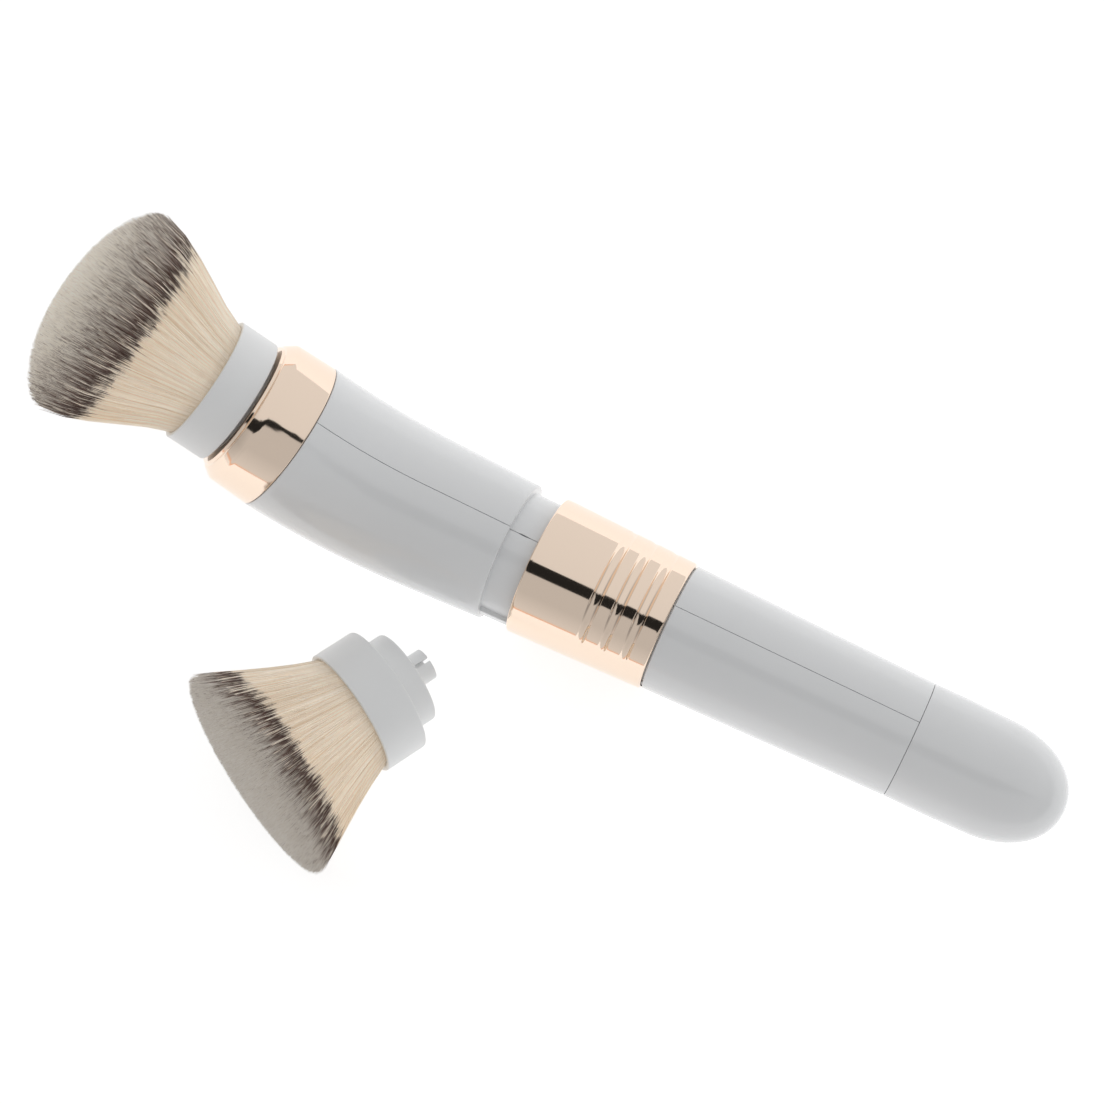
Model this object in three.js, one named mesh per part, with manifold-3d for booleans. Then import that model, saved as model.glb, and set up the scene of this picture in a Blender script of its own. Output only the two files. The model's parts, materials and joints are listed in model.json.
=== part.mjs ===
// Battery make-up brush: a curved handle with a geared motor, a domed brush head on its nose and a
// spare flat-topped brush head lying beside it. Millimetres, +Z up, lying on the table at Z = 0,
// with the battery cap towards +X.
//
// A station is a distance along the handle's centre line, measured from the front edge of the
// slider collar: positive towards the brush head, negative towards the battery cap. On the nose's
// own straight axis, stations are measured from the front end of the neck instead.
// Every piece is built with X running against its stations, Y across the handle's two halves and
// Z towards the inside of the bend.

import * as THREE from 'three';
import { mergeVertices } from 'three/addons/utils/BufferGeometryUtils.js';
import Module from 'manifold-3d';

const wasm = await Module();
wasm.setup();

// ---------------------------------------------------------------- driving dimensions

const FIT = 0.3;                  // gap between pieces that touch, plug together or rest on each other
const ROUND = 28;                 // sides of a large round piece
const SMALL_ROUND = 16;           // sides of a small round piece

// Centre line
const BEND_START = 27;
const BEND_ANGLE = THREE.MathUtils.degToRad(27.6);

// Slider collar and the recessed track that it runs on
const COLLAR_LENGTH = 30.8;
const COLLAR_FRONT_RADIUS = 15.5;
const COLLAR_REAR_RADIUS = 14.5;
const COLLAR_CHAMFER = 0.4;
const COLLAR_TRAVEL = 6;
const COLLAR_STOP_GAP = 0.6;
const TRACK_BACK_RADII = [13.6, 14.6];      // at the track's rear and front ends
const TRACK_INSIDE_RADII = [13.2, 13.7];    // the deeper half, on the inside of the bend
const GROOVE_COUNT = 3;
const GROOVE_FIRST_STATION = -16.1;
const GROOVE_PITCH = 4.9;
const GROOVE_DEPTH = 0.8;
const GROOVE_TUBE_RADIUS = 1.3;
const GROOVE_HALF_ANGLE = THREE.MathUtils.degToRad(75);

// Neck, handle and battery cap
const NECK_LENGTH = 53.8;
const NECK_REAR_RADIUS = 15.4;
const NECK_MIDDLE_RADIUS = 16.6;
const NECK_FRONT_RADIUS = 17.28;
const HANDLE_LENGTH = 54.8;
const HANDLE_FRONT_RADIUS = 14.07;
const HANDLE_REAR_RADIUS = 12.76;
const HANDLE_WALL = 1.5;
const NECK_WALL = 1.8;
const TRACK_WALL = 1.4;
const MOTOR_RIB_SHARES = [0.3, 0.75];       // where the two ribs stand, as shares of the motor's length
const MOTOR_RIB_THICKNESS = 1.2;
const BULKHEAD_THICKNESS = 1.5;
const BULKHEAD_WINDOW = 8;                  // side of the square window for the wires
const CAP_LENGTH = 34.2;
const CAP_DOME_RADIUS = 12.6;
const CAP_DOME_DEPTH = 17.5;
const CAP_WALL = 1.5;
const CAP_SPIGOT_LENGTH = 3;
const CAP_SPIGOT_WALL = 0.9;
const CAP_DOME_POWER = 0.94;      // 1 is an ellipse; below 1 is squarer
const GASKET_LENGTH = 1.2;
const GASKET_WALL = 0.8;          // room for the gasket, its fit included

// Front trim ring
const RING_LENGTH = 12.1;
const RING_CHAMFER_LENGTH = 2.8;
const RING_CHAMFER_RADIUS = 16.9;
const RING_LIP_RADIUS = 14.95;
const RING_MOUTH_RADIUS = 11.4;
const RING_LIP_THICKNESS = 2.4;
const RING_WALL = 1.7;

// Brush heads
const HEAD_GAP = 0.8;             // between the trim ring and the ferrule cup
const CUP_RADIUS = 14.39;
const CUP_LENGTH = 8.8;
const CUP_WALL = 1.1;
const CUP_FLOOR = 1.4;
const CUP_REAR_EDGE = 0.4;
const CUP_FRONT_EDGE = 0.3;
const DISC_RADIUS = 10.6;
const DISC_THICKNESS = 4.9;
const SPIGOT_RADIUS = 3.6;
const SPIGOT_BORE_RADIUS = 2.2;
const SPIGOT_LENGTH = 5.2;
const SPIGOT_SLOT_WIDTH = 0.9;
const SPIGOT_SLOT_DEPTH = 3.4;
const PLUG_BOSS_RADIUS = 7.7;
const PLUG_BOSS_LENGTH = 2.4;
const BRISTLE_BELLY_RADIUS = 23.2;
const BRISTLE_BELLY_DISTANCE = 24;
const BRISTLE_CROWN_DEPTH = 10.4;
const SPARE_CUP_LENGTH = 9.7;
const SPARE_FAN_RADIUS = 24.4;
const SPARE_FAN_LENGTH = 24.6;
const SPARE_CROWN_DEPTH = 2.4;    // how far the middle of its flat end stands out
const SPARE_EDGE_ROUNDING = 1.6;
const SPARE_FLARE = 0.4;          // how far the fan has opened half-way along; 0.5 is a straight cone
const ROOT_FLARE_SHARE = 0.37;    // the domed bristles' side leaves the cup towards this share of the way
const ROOT_FLARE_RISE = 4.1;      // and this much wider
const BELLY_FLARE_SHARE = 0.7;    // and meets the belly from this share of the way

// Planetary gearbox: the ring gear stands still and the planet carrier drives the brush head
const MODULE = 0.4;
const SUN_TEETH = 12;
const PLANET_TEETH = 18;
const RING_TEETH = SUN_TEETH + 2 * PLANET_TEETH;
const PLANET_COUNT = 3;
const PRESSURE_ANGLE = THREE.MathUtils.degToRad(20);
const TOOTH_THINNING = 0.1;
const GEAR_WIDTH = 3.5;
const RING_GEAR_RADIUS = 12.6;
const CARRIER_RADIUS = 8.2;
const CARRIER_THICKNESS = 1.4;
const PLANET_PIN_RADIUS = 0.7;
const GEARBOX_PLATE_THICKNESS = 1.2;
const GEARBOX_COVER_THICKNESS = 2;
const GEARBOX_SCREW_RADIUS = 0.6;
const GEARBOX_SCREW_DEPTH = 2;    // how far a screw reaches into the ring gear
const GEARBOX_SCREW_HEAD = 0.7;
const GEARBOX_SCREW_INSET = 1.3;  // from the ring gear's outside to a screw's middle
const OUTPUT_SHAFT_RADIUS = 2.2;
const OUTPUT_BUSH_WALL = 0.9;
const HUB_RADIUS = 5.8;
const HUB_BASE_THICKNESS = 1.4;
const NOSE_PLATE_THICKNESS = 1.2;
const GRIP = 0.5;                 // how far one solid of a piece runs into the next

// Motor
const MOTOR_RADIUS = 7.75;
const MOTOR_HEIGHT = 12;
const MOTOR_LENGTH = 19;
const MOTOR_WALL = 0.5;
const MOTOR_SHAFT_RADIUS = 0.75;
const MAGNET_THICKNESS = 1.1;
const MAGNET_REAR_GAP = 4;        // from the can's rear end
const MAGNET_FRONT_GAP = 2;       // from the can's front wall
const ARMATURE_RADIUS = 4.9;
const ARMATURE_LENGTH = 10;
const ARMATURE_FRONT_GAP = 3.5;   // from the can's front wall
const ARMATURE_SLOTS = 3;
const ARMATURE_SLOT_WIDTH = 1.2;
const MOTOR_CAP_THICKNESS = 1.3;
const TERMINAL_LENGTH = 2;
const TERMINAL_WIDTH = 2;
const TERMINAL_SHEET = 0.6;
const TERMINAL_OFFSET = 0.6 * MOTOR_RADIUS;

// Batteries (AAA), switch and circuit board
const CELL_RADIUS = 5.25;
const CELL_LENGTH = 43.5;
const CELL_BUTTON_RADIUS = 1.9;
const CELL_BUTTON_LENGTH = 1;
const CELL_GAP = 0.4;
const HOLDER_THICKNESS = 1.6;
const HOLDER_RAIL_WIDTH = 3.2;
const HOLDER_RAIL_HEIGHT = 3;
const HOLDER_RAIL_START = 4;      // in front of the cells' rear end
const CONTACT_SHEET = 0.4;
const CONTACT_WIDTH = 5;
const CAP_CONTACT_THICKNESS = 0.5;
const CAP_CONTACT_WIDTH = 6;
const SPRING_LENGTH = 2.6;
const SPRING_TURNS = 3;
const SPRING_REAR_RADIUS = 1.9;
const SPRING_FRONT_RADIUS = 3;
const SPRING_WIRE_RADIUS = 0.25;
const WIRE_RADIUS = 0.5;
const BOARD_LENGTH = 38;
const BOARD_WIDTH = 16;
const BOARD_THICKNESS = 1.2;
const BOARD_HEIGHT = -6.2;        // underside of the board, from the centre line
const SWITCH_LENGTH = 16;
const SWITCH_WIDTH = 6;
const SWITCH_HEIGHT = 4;
const KNOB_LENGTH = 3;
const KNOB_HEIGHT = 2.6;
const KNOB_WIDTH = 3;
const BRIDGE_THICKNESS = 1.4;
const BRIDGE_YOKE_HEIGHT = 1.6;
const BRIDGE_LEG = 1;
const BRIDGE_LENGTH = 8;
const BRIDGE_FRONT_STATION = -9;

// Spare brush head: where it lies beside the handle
const SPARE_OFFSET = [-22.1, -45.7];        // middle of its cup's rim, from the collar's front
const SPARE_HEADING = [-0.47, -0.883];      // direction that its bristles point, seen from above
const SPARE_SLOT_TURN = 90;       // degrees: its spigot's slot shows from above
const REST_ROLL = THREE.MathUtils.degToRad(-11.8);

// ---------------------------------------------------------------- stations worked out from them

const neckRear = COLLAR_TRAVEL + COLLAR_STOP_GAP;
const neckFront = neckRear + NECK_LENGTH;
const bendRadius = (neckFront - BEND_START) / BEND_ANGLE;
const handleFront = -(COLLAR_LENGTH + FIT);
const handleRear = handleFront - HANDLE_LENGTH;
const capFront = handleRear - FIT;
const domeStart = capFront - CAP_LENGTH + CAP_DOME_DEPTH;

// On the nose's axis, from the neck's front end
const cupRear = RING_LENGTH + HEAD_GAP;
const cupFront = cupRear + CUP_LENGTH;
const spareCupFront = cupRear + SPARE_CUP_LENGTH;
const discFront = cupRear - FIT;
const discRear = discFront - DISC_THICKNESS;
const spigotEnd = discRear - SPIGOT_LENGTH;
const hubFloor = spigotEnd - 2 * FIT;
const hubRear = hubFloor - HUB_BASE_THICKNESS;
const hubFront = discRear - 2 * FIT;
const coverFront = hubRear - 3 * FIT;
const coverRear = coverFront - GEARBOX_COVER_THICKNESS;
const carrierFront = coverRear - 2 * FIT;
const carrierRear = carrierFront - CARRIER_THICKNESS;
const planetFront = carrierRear - FIT;
const planetRear = planetFront - GEAR_WIDTH;
const plateFront = planetRear - 2 * FIT;
const plateRear = plateFront - GEARBOX_PLATE_THICKNESS;
const motorFront = plateRear - FIT;
const motorRear = motorFront - MOTOR_LENGTH;
const motorCapFront = motorRear - FIT;
const motorCapRear = motorCapFront - MOTOR_CAP_THICKNESS;

// Along the handle
const spigotRadius = HANDLE_REAR_RADIUS - HANDLE_WALL - FIT - GASKET_WALL;
const cellRear = handleRear + CAP_SPIGOT_LENGTH + 2 * FIT;
const cellFront = cellRear + CELL_LENGTH + CELL_BUTTON_LENGTH;
const cellOffset = CELL_RADIUS + CELL_GAP / 2;
const holderRear = cellFront + FIT + SPRING_LENGTH + FIT;
const holderFront = holderRear + HOLDER_THICKNESS;
const boardFront = neckRear + 4;
const switchFloor = BOARD_HEIGHT + BOARD_THICKNESS + FIT;
const knobFloor = switchFloor + SWITCH_HEIGHT + FIT;
const knobRear = BRIDGE_FRONT_STATION - BRIDGE_LENGTH + 2;
const switchRear = knobRear - 2 * FIT - 1.4;

// ---------------------------------------------------------------- solids and their helpers

// Merges vertices closer than the tolerance and drops the faces that this closes up.
function welded(geometry, tolerance) {
  const bare = geometry.clone();
  bare.deleteAttribute('normal');
  bare.deleteAttribute('uv');
  const merged = mergeVertices(bare, tolerance);
  const faces = [];
  for (let i = 0; i < merged.index.count; i += 3) {
    const [a, b, c] = [0, 1, 2].map((k) => merged.index.array[i + k]);
    if (a !== b && b !== c && c !== a) faces.push(a, b, c);
  }
  return { points: merged.attributes.position.array, faces };
}

function solid(geometry) {
  const { points, faces } = welded(geometry, 1e-4);
  if (signedVolume(points, faces) < 0) faces.reverse();
  return new wasm.Manifold(new wasm.Mesh({
    numProp: 3,
    vertProperties: Float32Array.from(points),
    triVerts: Uint32Array.from(faces),
  }));
}

function signedVolume(points, faces) {
  const [a, b, c] = [new THREE.Vector3(), new THREE.Vector3(), new THREE.Vector3()];
  let volume = 0;
  for (let i = 0; i < faces.length; i += 3) {
    a.fromArray(points, 3 * faces[i]);
    b.fromArray(points, 3 * faces[i + 1]);
    c.fromArray(points, 3 * faces[i + 2]);
    volume += a.dot(b.cross(c)) / 6;
  }
  return volume;
}

function geometryOf(manifold) {
  const mesh = manifold.getMesh();
  const geometry = new THREE.BufferGeometry();
  geometry.setAttribute('position', new THREE.BufferAttribute(Float32Array.from(mesh.vertProperties), 3));
  geometry.setIndex(new THREE.BufferAttribute(Uint32Array.from(mesh.triVerts), 1));
  const { points, faces } = welded(geometry, 1e-3);
  geometry.setAttribute('position', new THREE.BufferAttribute(Float32Array.from(points), 3));
  geometry.setIndex(faces);
  geometry.computeVertexNormals();
  return geometry;
}

// A turned piece: [station, radius] points about the X axis. Its flats, not its edges, face up and
// across, so that a cut through the axis runs down the middle of a flat.
function turnedGeometry(outline, sides = ROUND) {
  const points = outline.map(([station, radius]) => new THREE.Vector2(radius, -station));
  const geometry = new THREE.LatheGeometry(points, sides, Math.PI / sides, 2 * Math.PI);
  const axes = new THREE.Matrix4().makeBasis(
    new THREE.Vector3(0, 0, 1), new THREE.Vector3(1, 0, 0), new THREE.Vector3(0, 1, 0));
  return geometry.applyMatrix4(axes);
}

function turned(outline, sides = ROUND) {
  return solid(turnedGeometry(outline, sides));
}

function cylinder(rear, front, radius, sides = ROUND) {
  return turned([[rear, 0], [rear, radius], [front, radius], [front, 0]], sides);
}

function tube(rear, front, inner, outer, sides = ROUND) {
  return turned([[rear, inner], [rear, outer], [front, outer], [front, inner], [rear, inner]], sides);
}

// A prism: a Y-Z outline carried from one station to another.
function prism(shape, rear, front, sides = 8) {
  const geometry = new THREE.ExtrudeGeometry(shape, {
    depth: front - rear, bevelEnabled: false, curveSegments: sides });
  const axes = new THREE.Matrix4().makeBasis(
    new THREE.Vector3(0, 1, 0), new THREE.Vector3(0, 0, 1), new THREE.Vector3(1, 0, 0));
  geometry.applyMatrix4(axes).translate(-front, 0, 0);
  return solid(geometry);
}

// A plate cut to a station-height outline, with its thickness across the handle.
function plate(outline, thickness) {
  const shape = new THREE.Shape(outline.map(([station, height]) => new THREE.Vector2(-station, height)));
  const geometry = new THREE.ExtrudeGeometry(shape, { depth: thickness, bevelEnabled: false });
  geometry.rotateX(Math.PI / 2).translate(0, thickness / 2, 0);
  return solid(geometry);
}

function block(stations, across, heights) {
  const geometry = new THREE.BoxGeometry(
    stations[1] - stations[0], across[1] - across[0], heights[1] - heights[0]);
  geometry.translate(
    -(stations[0] + stations[1]) / 2, (across[0] + across[1]) / 2, (heights[0] + heights[1]) / 2);
  return solid(geometry);
}

function wire(points, radius) {
  const section = new THREE.Shape();
  section.absarc(0, 0, radius, 0, 2 * Math.PI);
  const route = new THREE.CatmullRomCurve3(points);
  const geometry = new THREE.ExtrudeGeometry(section, {
    steps: 5 * (points.length - 1), curveSegments: 4, extrudePath: route });
  return solid(geometry);
}

// The centre line: straight, then an arc that bends towards +Z, then straight again.
function spine(station) {
  const turn = THREE.MathUtils.clamp((station - BEND_START) / bendRadius, 0, BEND_ANGLE);
  const past = Math.max(0, station - neckFront);
  return {
    turn,
    x: -(Math.min(station, BEND_START) + bendRadius * Math.sin(turn) + past * Math.cos(turn)),
    z: bendRadius * (1 - Math.cos(turn)) + past * Math.sin(turn),
  };
}

// Carries a straight turned piece onto the centre line.
function followSpine(geometry) {
  const position = geometry.attributes.position;
  for (let i = 0; i < position.count; i += 1) {
    const at = spine(-position.getX(i));
    const height = position.getZ(i);
    position.setX(i, at.x + height * Math.sin(at.turn));
    position.setZ(i, at.z + height * Math.cos(at.turn));
  }
  return geometry;
}

// From the nose's axis to the handle's axes.
function noseMatrix() {
  const at = spine(neckFront);
  return new THREE.Matrix4().makeRotationY(BEND_ANGLE).setPosition(at.x, 0, at.z);
}

function ontoNose(manifold) {
  return solid(geometryOf(manifold).applyMatrix4(noseMatrix()));
}

// ---------------------------------------------------------------- outlines

function between(ends, share) {
  return THREE.MathUtils.lerp(ends[0], ends[1], share);
}

// The neck swells towards the nose.
function neckRadius(station) {
  const share = (station - neckRear) / NECK_LENGTH;
  const control = 2 * NECK_MIDDLE_RADIUS - (NECK_REAR_RADIUS + NECK_FRONT_RADIUS) / 2;
  return (1 - share) ** 2 * NECK_REAR_RADIUS + 2 * share * (1 - share) * control
    + share ** 2 * NECK_FRONT_RADIUS;
}

function trackRadius(radii, station) {
  return between(radii, (station - handleFront) / (neckRear - handleFront));
}

const trackBore = TRACK_INSIDE_RADII[0] - TRACK_WALL;
const trackBoreRear = handleFront - 2 * TRACK_WALL;

// The hollow in the handle, behind the track.
function handleBoreRadius(station) {
  const share = (station - handleRear) / (trackBoreRear - handleRear);
  return between([HANDLE_REAR_RADIUS - HANDLE_WALL, trackBore], share);
}

function neckStations() {
  const steps = 11;
  return Array.from({ length: steps + 1 }, (_, i) => neckRear + (NECK_LENGTH * i) / steps);
}

const shellSpigotRadius = NECK_FRONT_RADIUS - RING_WALL - FIT;
const shellNoseFront = RING_LENGTH - RING_LIP_THICKNESS - FIT;

function shellOuter() {
  const neck = turnedGeometry([
    [neckRear, 0],
    ...neckStations().map((station) => [station, neckRadius(station)]),
    [neckFront, shellSpigotRadius],
    [neckFront + shellNoseFront, shellSpigotRadius],
    [neckFront + shellNoseFront, 0],
  ]);
  const overlap = 1;
  const trackEnds = [handleFront - overlap, neckRear + overlap];
  const track = (radii) => turned([
    [trackEnds[0], 0],
    [trackEnds[0], trackRadius(radii, handleFront)],
    [handleFront, trackRadius(radii, handleFront)],
    [neckRear, trackRadius(radii, neckRear)],
    [trackEnds[1], trackRadius(radii, neckRear)],
    [trackEnds[1], 0],
  ]);
  const backHalf = block([trackEnds[0] - 1, trackEnds[1] + 1], [-20, 20], [-20, -FIT / 2]);
  const handle = turned([
    [handleRear, 0], [handleRear, HANDLE_REAR_RADIUS], [handleFront, HANDLE_FRONT_RADIUS], [handleFront, 0]]);
  return solid(followSpine(neck))
    .add(track(TRACK_INSIDE_RADII))
    .add(track(TRACK_BACK_RADII).intersect(backHalf))
    .add(handle);
}

function shellHollow() {
  const ends = 2;
  return solid(followSpine(turnedGeometry([
    [handleRear - ends, 0],
    [handleRear - ends, handleBoreRadius(handleRear)],
    [handleRear, handleBoreRadius(handleRear)],
    [trackBoreRear, trackBore],
    [neckRear + TRACK_WALL, trackBore],
    ...neckStations().slice(2).map((station) => [station, neckRadius(station) - NECK_WALL]),
    [neckFront, shellSpigotRadius - NECK_WALL],
    [neckFront + shellNoseFront + ends, shellSpigotRadius - NECK_WALL],
    [neckFront + shellNoseFront + ends, 0],
  ])));
}

// Ribs across the neck that hold the motor, cut round it with a clearance.
function motorRibs() {
  const pocket = cylinder(motorCapRear, motorFront, MOTOR_RADIUS + FIT);
  return MOTOR_RIB_SHARES.map((share) => {
    const rear = between([motorRear, motorFront], share);
    return ontoNose(cylinder(rear, rear + MOTOR_RIB_THICKNESS, 1.2 * NECK_FRONT_RADIUS).subtract(pocket));
  });
}

// The neck's inner volume out to the middle of its wall, which trims the ribs.
function ribLimit() {
  return solid(followSpine(turnedGeometry([
    [neckRear + NECK_WALL, 0],
    ...neckStations().slice(1, -1).map((station) => [station, neckRadius(station) - NECK_WALL / 2]),
    [neckFront - NECK_WALL, 0],
  ])));
}

// The bulkhead between the batteries and the circuit board, with a window for the wires.
const bulkheadRear = holderFront + FIT;
const bulkheadFront = bulkheadRear + BULKHEAD_THICKNESS;

function bulkhead() {
  const radius = handleBoreRadius(bulkheadRear) + HANDLE_WALL / 2;
  const half = BULKHEAD_WINDOW / 2;
  return cylinder(bulkheadRear, bulkheadFront, radius)
    .subtract(block([bulkheadRear - 1, bulkheadFront + 1], [-half, half], [-half, half]));
}

function shellHalf(side) {
  let shell = shellOuter().subtract(shellHollow());
  const limit = ribLimit();
  motorRibs().forEach((rib) => { shell = shell.add(rib.intersect(limit)); });
  shell = shell.add(bulkhead());
  const slotWidth = BRIDGE_THICKNESS / 2 + FIT;
  const slot = block(
    [BRIDGE_FRONT_STATION - BRIDGE_LENGTH - 2 * FIT, BRIDGE_FRONT_STATION + COLLAR_TRAVEL + 2 * FIT],
    [-slotWidth, slotWidth], [TRACK_INSIDE_RADII[0] - 2 * TRACK_WALL, COLLAR_FRONT_RADIUS]);
  const reach = 2 * (HANDLE_LENGTH + NECK_LENGTH + CAP_LENGTH);
  const across = side > 0 ? [FIT / 2, reach] : [-reach, -FIT / 2];
  return shell.subtract(slot).intersect(block([-reach, reach], across, [-reach, reach]));
}

// ---------------------------------------------------------------- collar, ring and cap

function collarBoreRadius(radii, station) {
  return trackRadius(radii, station + COLLAR_TRAVEL) + FIT;
}

function collar() {
  const rear = -COLLAR_LENGTH;
  const body = turned([
    [rear, 0],
    [rear, COLLAR_REAR_RADIUS - COLLAR_CHAMFER],
    [rear + COLLAR_CHAMFER, COLLAR_REAR_RADIUS],
    [-COLLAR_CHAMFER, COLLAR_FRONT_RADIUS],
    [0, COLLAR_FRONT_RADIUS - COLLAR_CHAMFER],
    [0, 0],
  ]);
  const bore = (radii) => turned([
    [rear - 1, 0],
    [rear - 1, collarBoreRadius(radii, rear - 1)],
    [1, collarBoreRadius(radii, 1)],
    [1, 0],
  ]);
  const reach = 2 * COLLAR_FRONT_RADIUS;
  const backHalf = block([rear - 2, 2], [-reach, reach], [-reach, FIT / 2]);
  let shape = body.subtract(bore(TRACK_INSIDE_RADII)).subtract(bore(TRACK_BACK_RADII).intersect(backHalf));
  for (let i = 0; i < GROOVE_COUNT; i += 1) shape = shape.subtract(thumbGroove(i));
  return shape;
}

// A ring set off the collar's axis cuts a groove that is deepest on the inside of the bend and
// runs out to a point on each side.
function thumbGroove(index) {
  const station = GROOVE_FIRST_STATION - index * GROOVE_PITCH;
  const surface = between([COLLAR_REAR_RADIUS, COLLAR_FRONT_RADIUS], 1 + station / COLLAR_LENGTH);
  const offset = GROOVE_DEPTH / (1 - Math.cos(GROOVE_HALF_ANGLE));
  const ringRadius = surface + GROOVE_TUBE_RADIUS - GROOVE_DEPTH + offset;
  const geometry = new THREE.TorusGeometry(ringRadius, GROOVE_TUBE_RADIUS, 10, ROUND);
  geometry.rotateY(Math.PI / 2).translate(-station, 0, -offset);
  return solid(geometry);
}

function trimRing() {
  const bore = shellSpigotRadius + FIT;
  const chamferStart = RING_LENGTH - RING_CHAMFER_LENGTH;
  const lipRear = RING_LENGTH - RING_LIP_THICKNESS;
  return turned([
    [FIT, bore],
    [FIT, NECK_FRONT_RADIUS],
    [chamferStart, RING_CHAMFER_RADIUS],
    [RING_LENGTH, RING_LIP_RADIUS],
    [RING_LENGTH, RING_MOUTH_RADIUS],
    [lipRear, RING_MOUTH_RADIUS],
    [lipRear, bore],
    [FIT, bore],
  ]);
}

// The cap's rounded end, a quarter of a slightly squared ellipse.
function dome(start, radius, depth, steps) {
  const points = [];
  for (let i = 0; i <= steps; i += 1) {
    const angle = (Math.PI / 2) * (i / steps);
    const [along, across] = [Math.sin(angle), Math.cos(angle)].map((part) => part ** CAP_DOME_POWER);
    points.push([start - depth * along, radius * across]);
  }
  points[steps][1] = 0;
  return points;
}

function batteryCap() {
  const mouth = spigotRadius - CAP_SPIGOT_WALL;
  const spigotFront = handleRear + CAP_SPIGOT_LENGTH;
  return turned([
    ...dome(domeStart, CAP_DOME_RADIUS, CAP_DOME_DEPTH, 8).reverse(),
    [capFront, HANDLE_REAR_RADIUS],
    [capFront, spigotRadius],
    [spigotFront, spigotRadius],
    [spigotFront, mouth],
    [capFront - CAP_WALL, mouth],
    [domeStart, CAP_DOME_RADIUS - CAP_WALL],
    ...dome(domeStart, CAP_DOME_RADIUS - CAP_WALL, CAP_DOME_DEPTH - CAP_WALL, 6).slice(1),
  ]);
}

// ---------------------------------------------------------------- brush heads

function ferruleCup(front) {
  const hole = PLUG_BOSS_RADIUS + FIT;
  const inner = CUP_RADIUS - CUP_WALL;
  return turned([
    [cupRear, hole],
    [cupRear, CUP_RADIUS - CUP_REAR_EDGE],
    [cupRear + CUP_REAR_EDGE, CUP_RADIUS],
    [front - CUP_FRONT_EDGE, CUP_RADIUS],
    [front, CUP_RADIUS - CUP_FRONT_EDGE],
    [front, inner],
    [cupRear + CUP_FLOOR, inner],
    [cupRear + CUP_FLOOR, hole],
    [cupRear, hole],
  ]);
}

// The disc and spigot under the cup: the spigot is hollow and slotted, to fit the drive hub's blade.
function headPlug() {
  const bossFront = cupRear + PLUG_BOSS_LENGTH;
  const body = turned([
    [spigotEnd, SPIGOT_BORE_RADIUS],
    [spigotEnd, SPIGOT_RADIUS],
    [discRear, SPIGOT_RADIUS],
    [discRear, DISC_RADIUS],
    [discFront, DISC_RADIUS],
    [discFront, PLUG_BOSS_RADIUS],
    [bossFront, PLUG_BOSS_RADIUS],
    [bossFront, 0],
    [discRear + 1, 0],
    [discRear + 1, SPIGOT_BORE_RADIUS],
    [spigotEnd, SPIGOT_BORE_RADIUS],
  ], 1.5 * SMALL_ROUND);
  const half = SPIGOT_SLOT_WIDTH / 2;
  return body.subtract(
    block([spigotEnd - 1, spigotEnd + SPIGOT_SLOT_DEPTH], [-DISC_RADIUS, DISC_RADIUS], [-half, half]));
}

const bristleFoot = cupRear + PLUG_BOSS_LENGTH + FIT;
const bristleFootRadius = CUP_RADIUS - CUP_WALL - FIT;

function domedBristles() {
  const flare = new THREE.CubicBezierCurve(
    new THREE.Vector2(cupFront, bristleFootRadius),
    new THREE.Vector2(
      cupFront + ROOT_FLARE_SHARE * BRISTLE_BELLY_DISTANCE, bristleFootRadius + ROOT_FLARE_RISE),
    new THREE.Vector2(cupFront + BELLY_FLARE_SHARE * BRISTLE_BELLY_DISTANCE, BRISTLE_BELLY_RADIUS),
    new THREE.Vector2(cupFront + BRISTLE_BELLY_DISTANCE, BRISTLE_BELLY_RADIUS));
  const crown = [];
  const crownSteps = 6;
  for (let i = 1; i <= crownSteps; i += 1) {
    const angle = (Math.PI / 2) * (i / crownSteps);
    crown.push([
      cupFront + BRISTLE_BELLY_DISTANCE + BRISTLE_CROWN_DEPTH * Math.sin(angle),
      i < crownSteps ? BRISTLE_BELLY_RADIUS * Math.cos(angle) : 0,
    ]);
  }
  return turned([
    [bristleFoot, 0],
    [bristleFoot, bristleFootRadius],
    ...flare.getPoints(5).map((point) => [point.x, point.y]),
    ...crown,
  ]);
}

function flatBristles() {
  const end = spareCupFront + SPARE_FAN_LENGTH;
  const halfWayRadius = between([bristleFootRadius, SPARE_FAN_RADIUS], SPARE_FLARE);
  const flare = new THREE.QuadraticBezierCurve(
    new THREE.Vector2(spareCupFront, bristleFootRadius),
    new THREE.Vector2(spareCupFront + SPARE_FAN_LENGTH / 2, halfWayRadius),
    new THREE.Vector2(end - SPARE_EDGE_ROUNDING, SPARE_FAN_RADIUS));
  return turned([
    [bristleFoot, 0],
    [bristleFoot, bristleFootRadius],
    ...flare.getPoints(6).map((point) => [point.x, point.y]),
    [end - SPARE_EDGE_ROUNDING / 3, SPARE_FAN_RADIUS - SPARE_EDGE_ROUNDING / 3],
    [end, SPARE_FAN_RADIUS - 2 * SPARE_EDGE_ROUNDING],
    [end + 0.75 * SPARE_CROWN_DEPTH, SPARE_FAN_RADIUS / 2],
    [end + SPARE_CROWN_DEPTH, 0],
  ]);
}

// ---------------------------------------------------------------- gears

function involute(angle) {
  return Math.tan(angle) - angle;
}

// Half of a tooth's angle at a radius. An inner tooth, on the ring gear, is the space of an outer one.
function toothHalfAngle(teeth, radius, inner) {
  const pitchRadius = (MODULE * teeth) / 2;
  const base = pitchRadius * Math.cos(PRESSURE_ANGLE);
  const spread = involute(PRESSURE_ANGLE) - involute(Math.acos(Math.min(1, base / radius)));
  const even = Math.PI / (2 * teeth) - TOOTH_THINNING / (2 * pitchRadius);
  return inner ? even - spread : even + spread;
}

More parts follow.
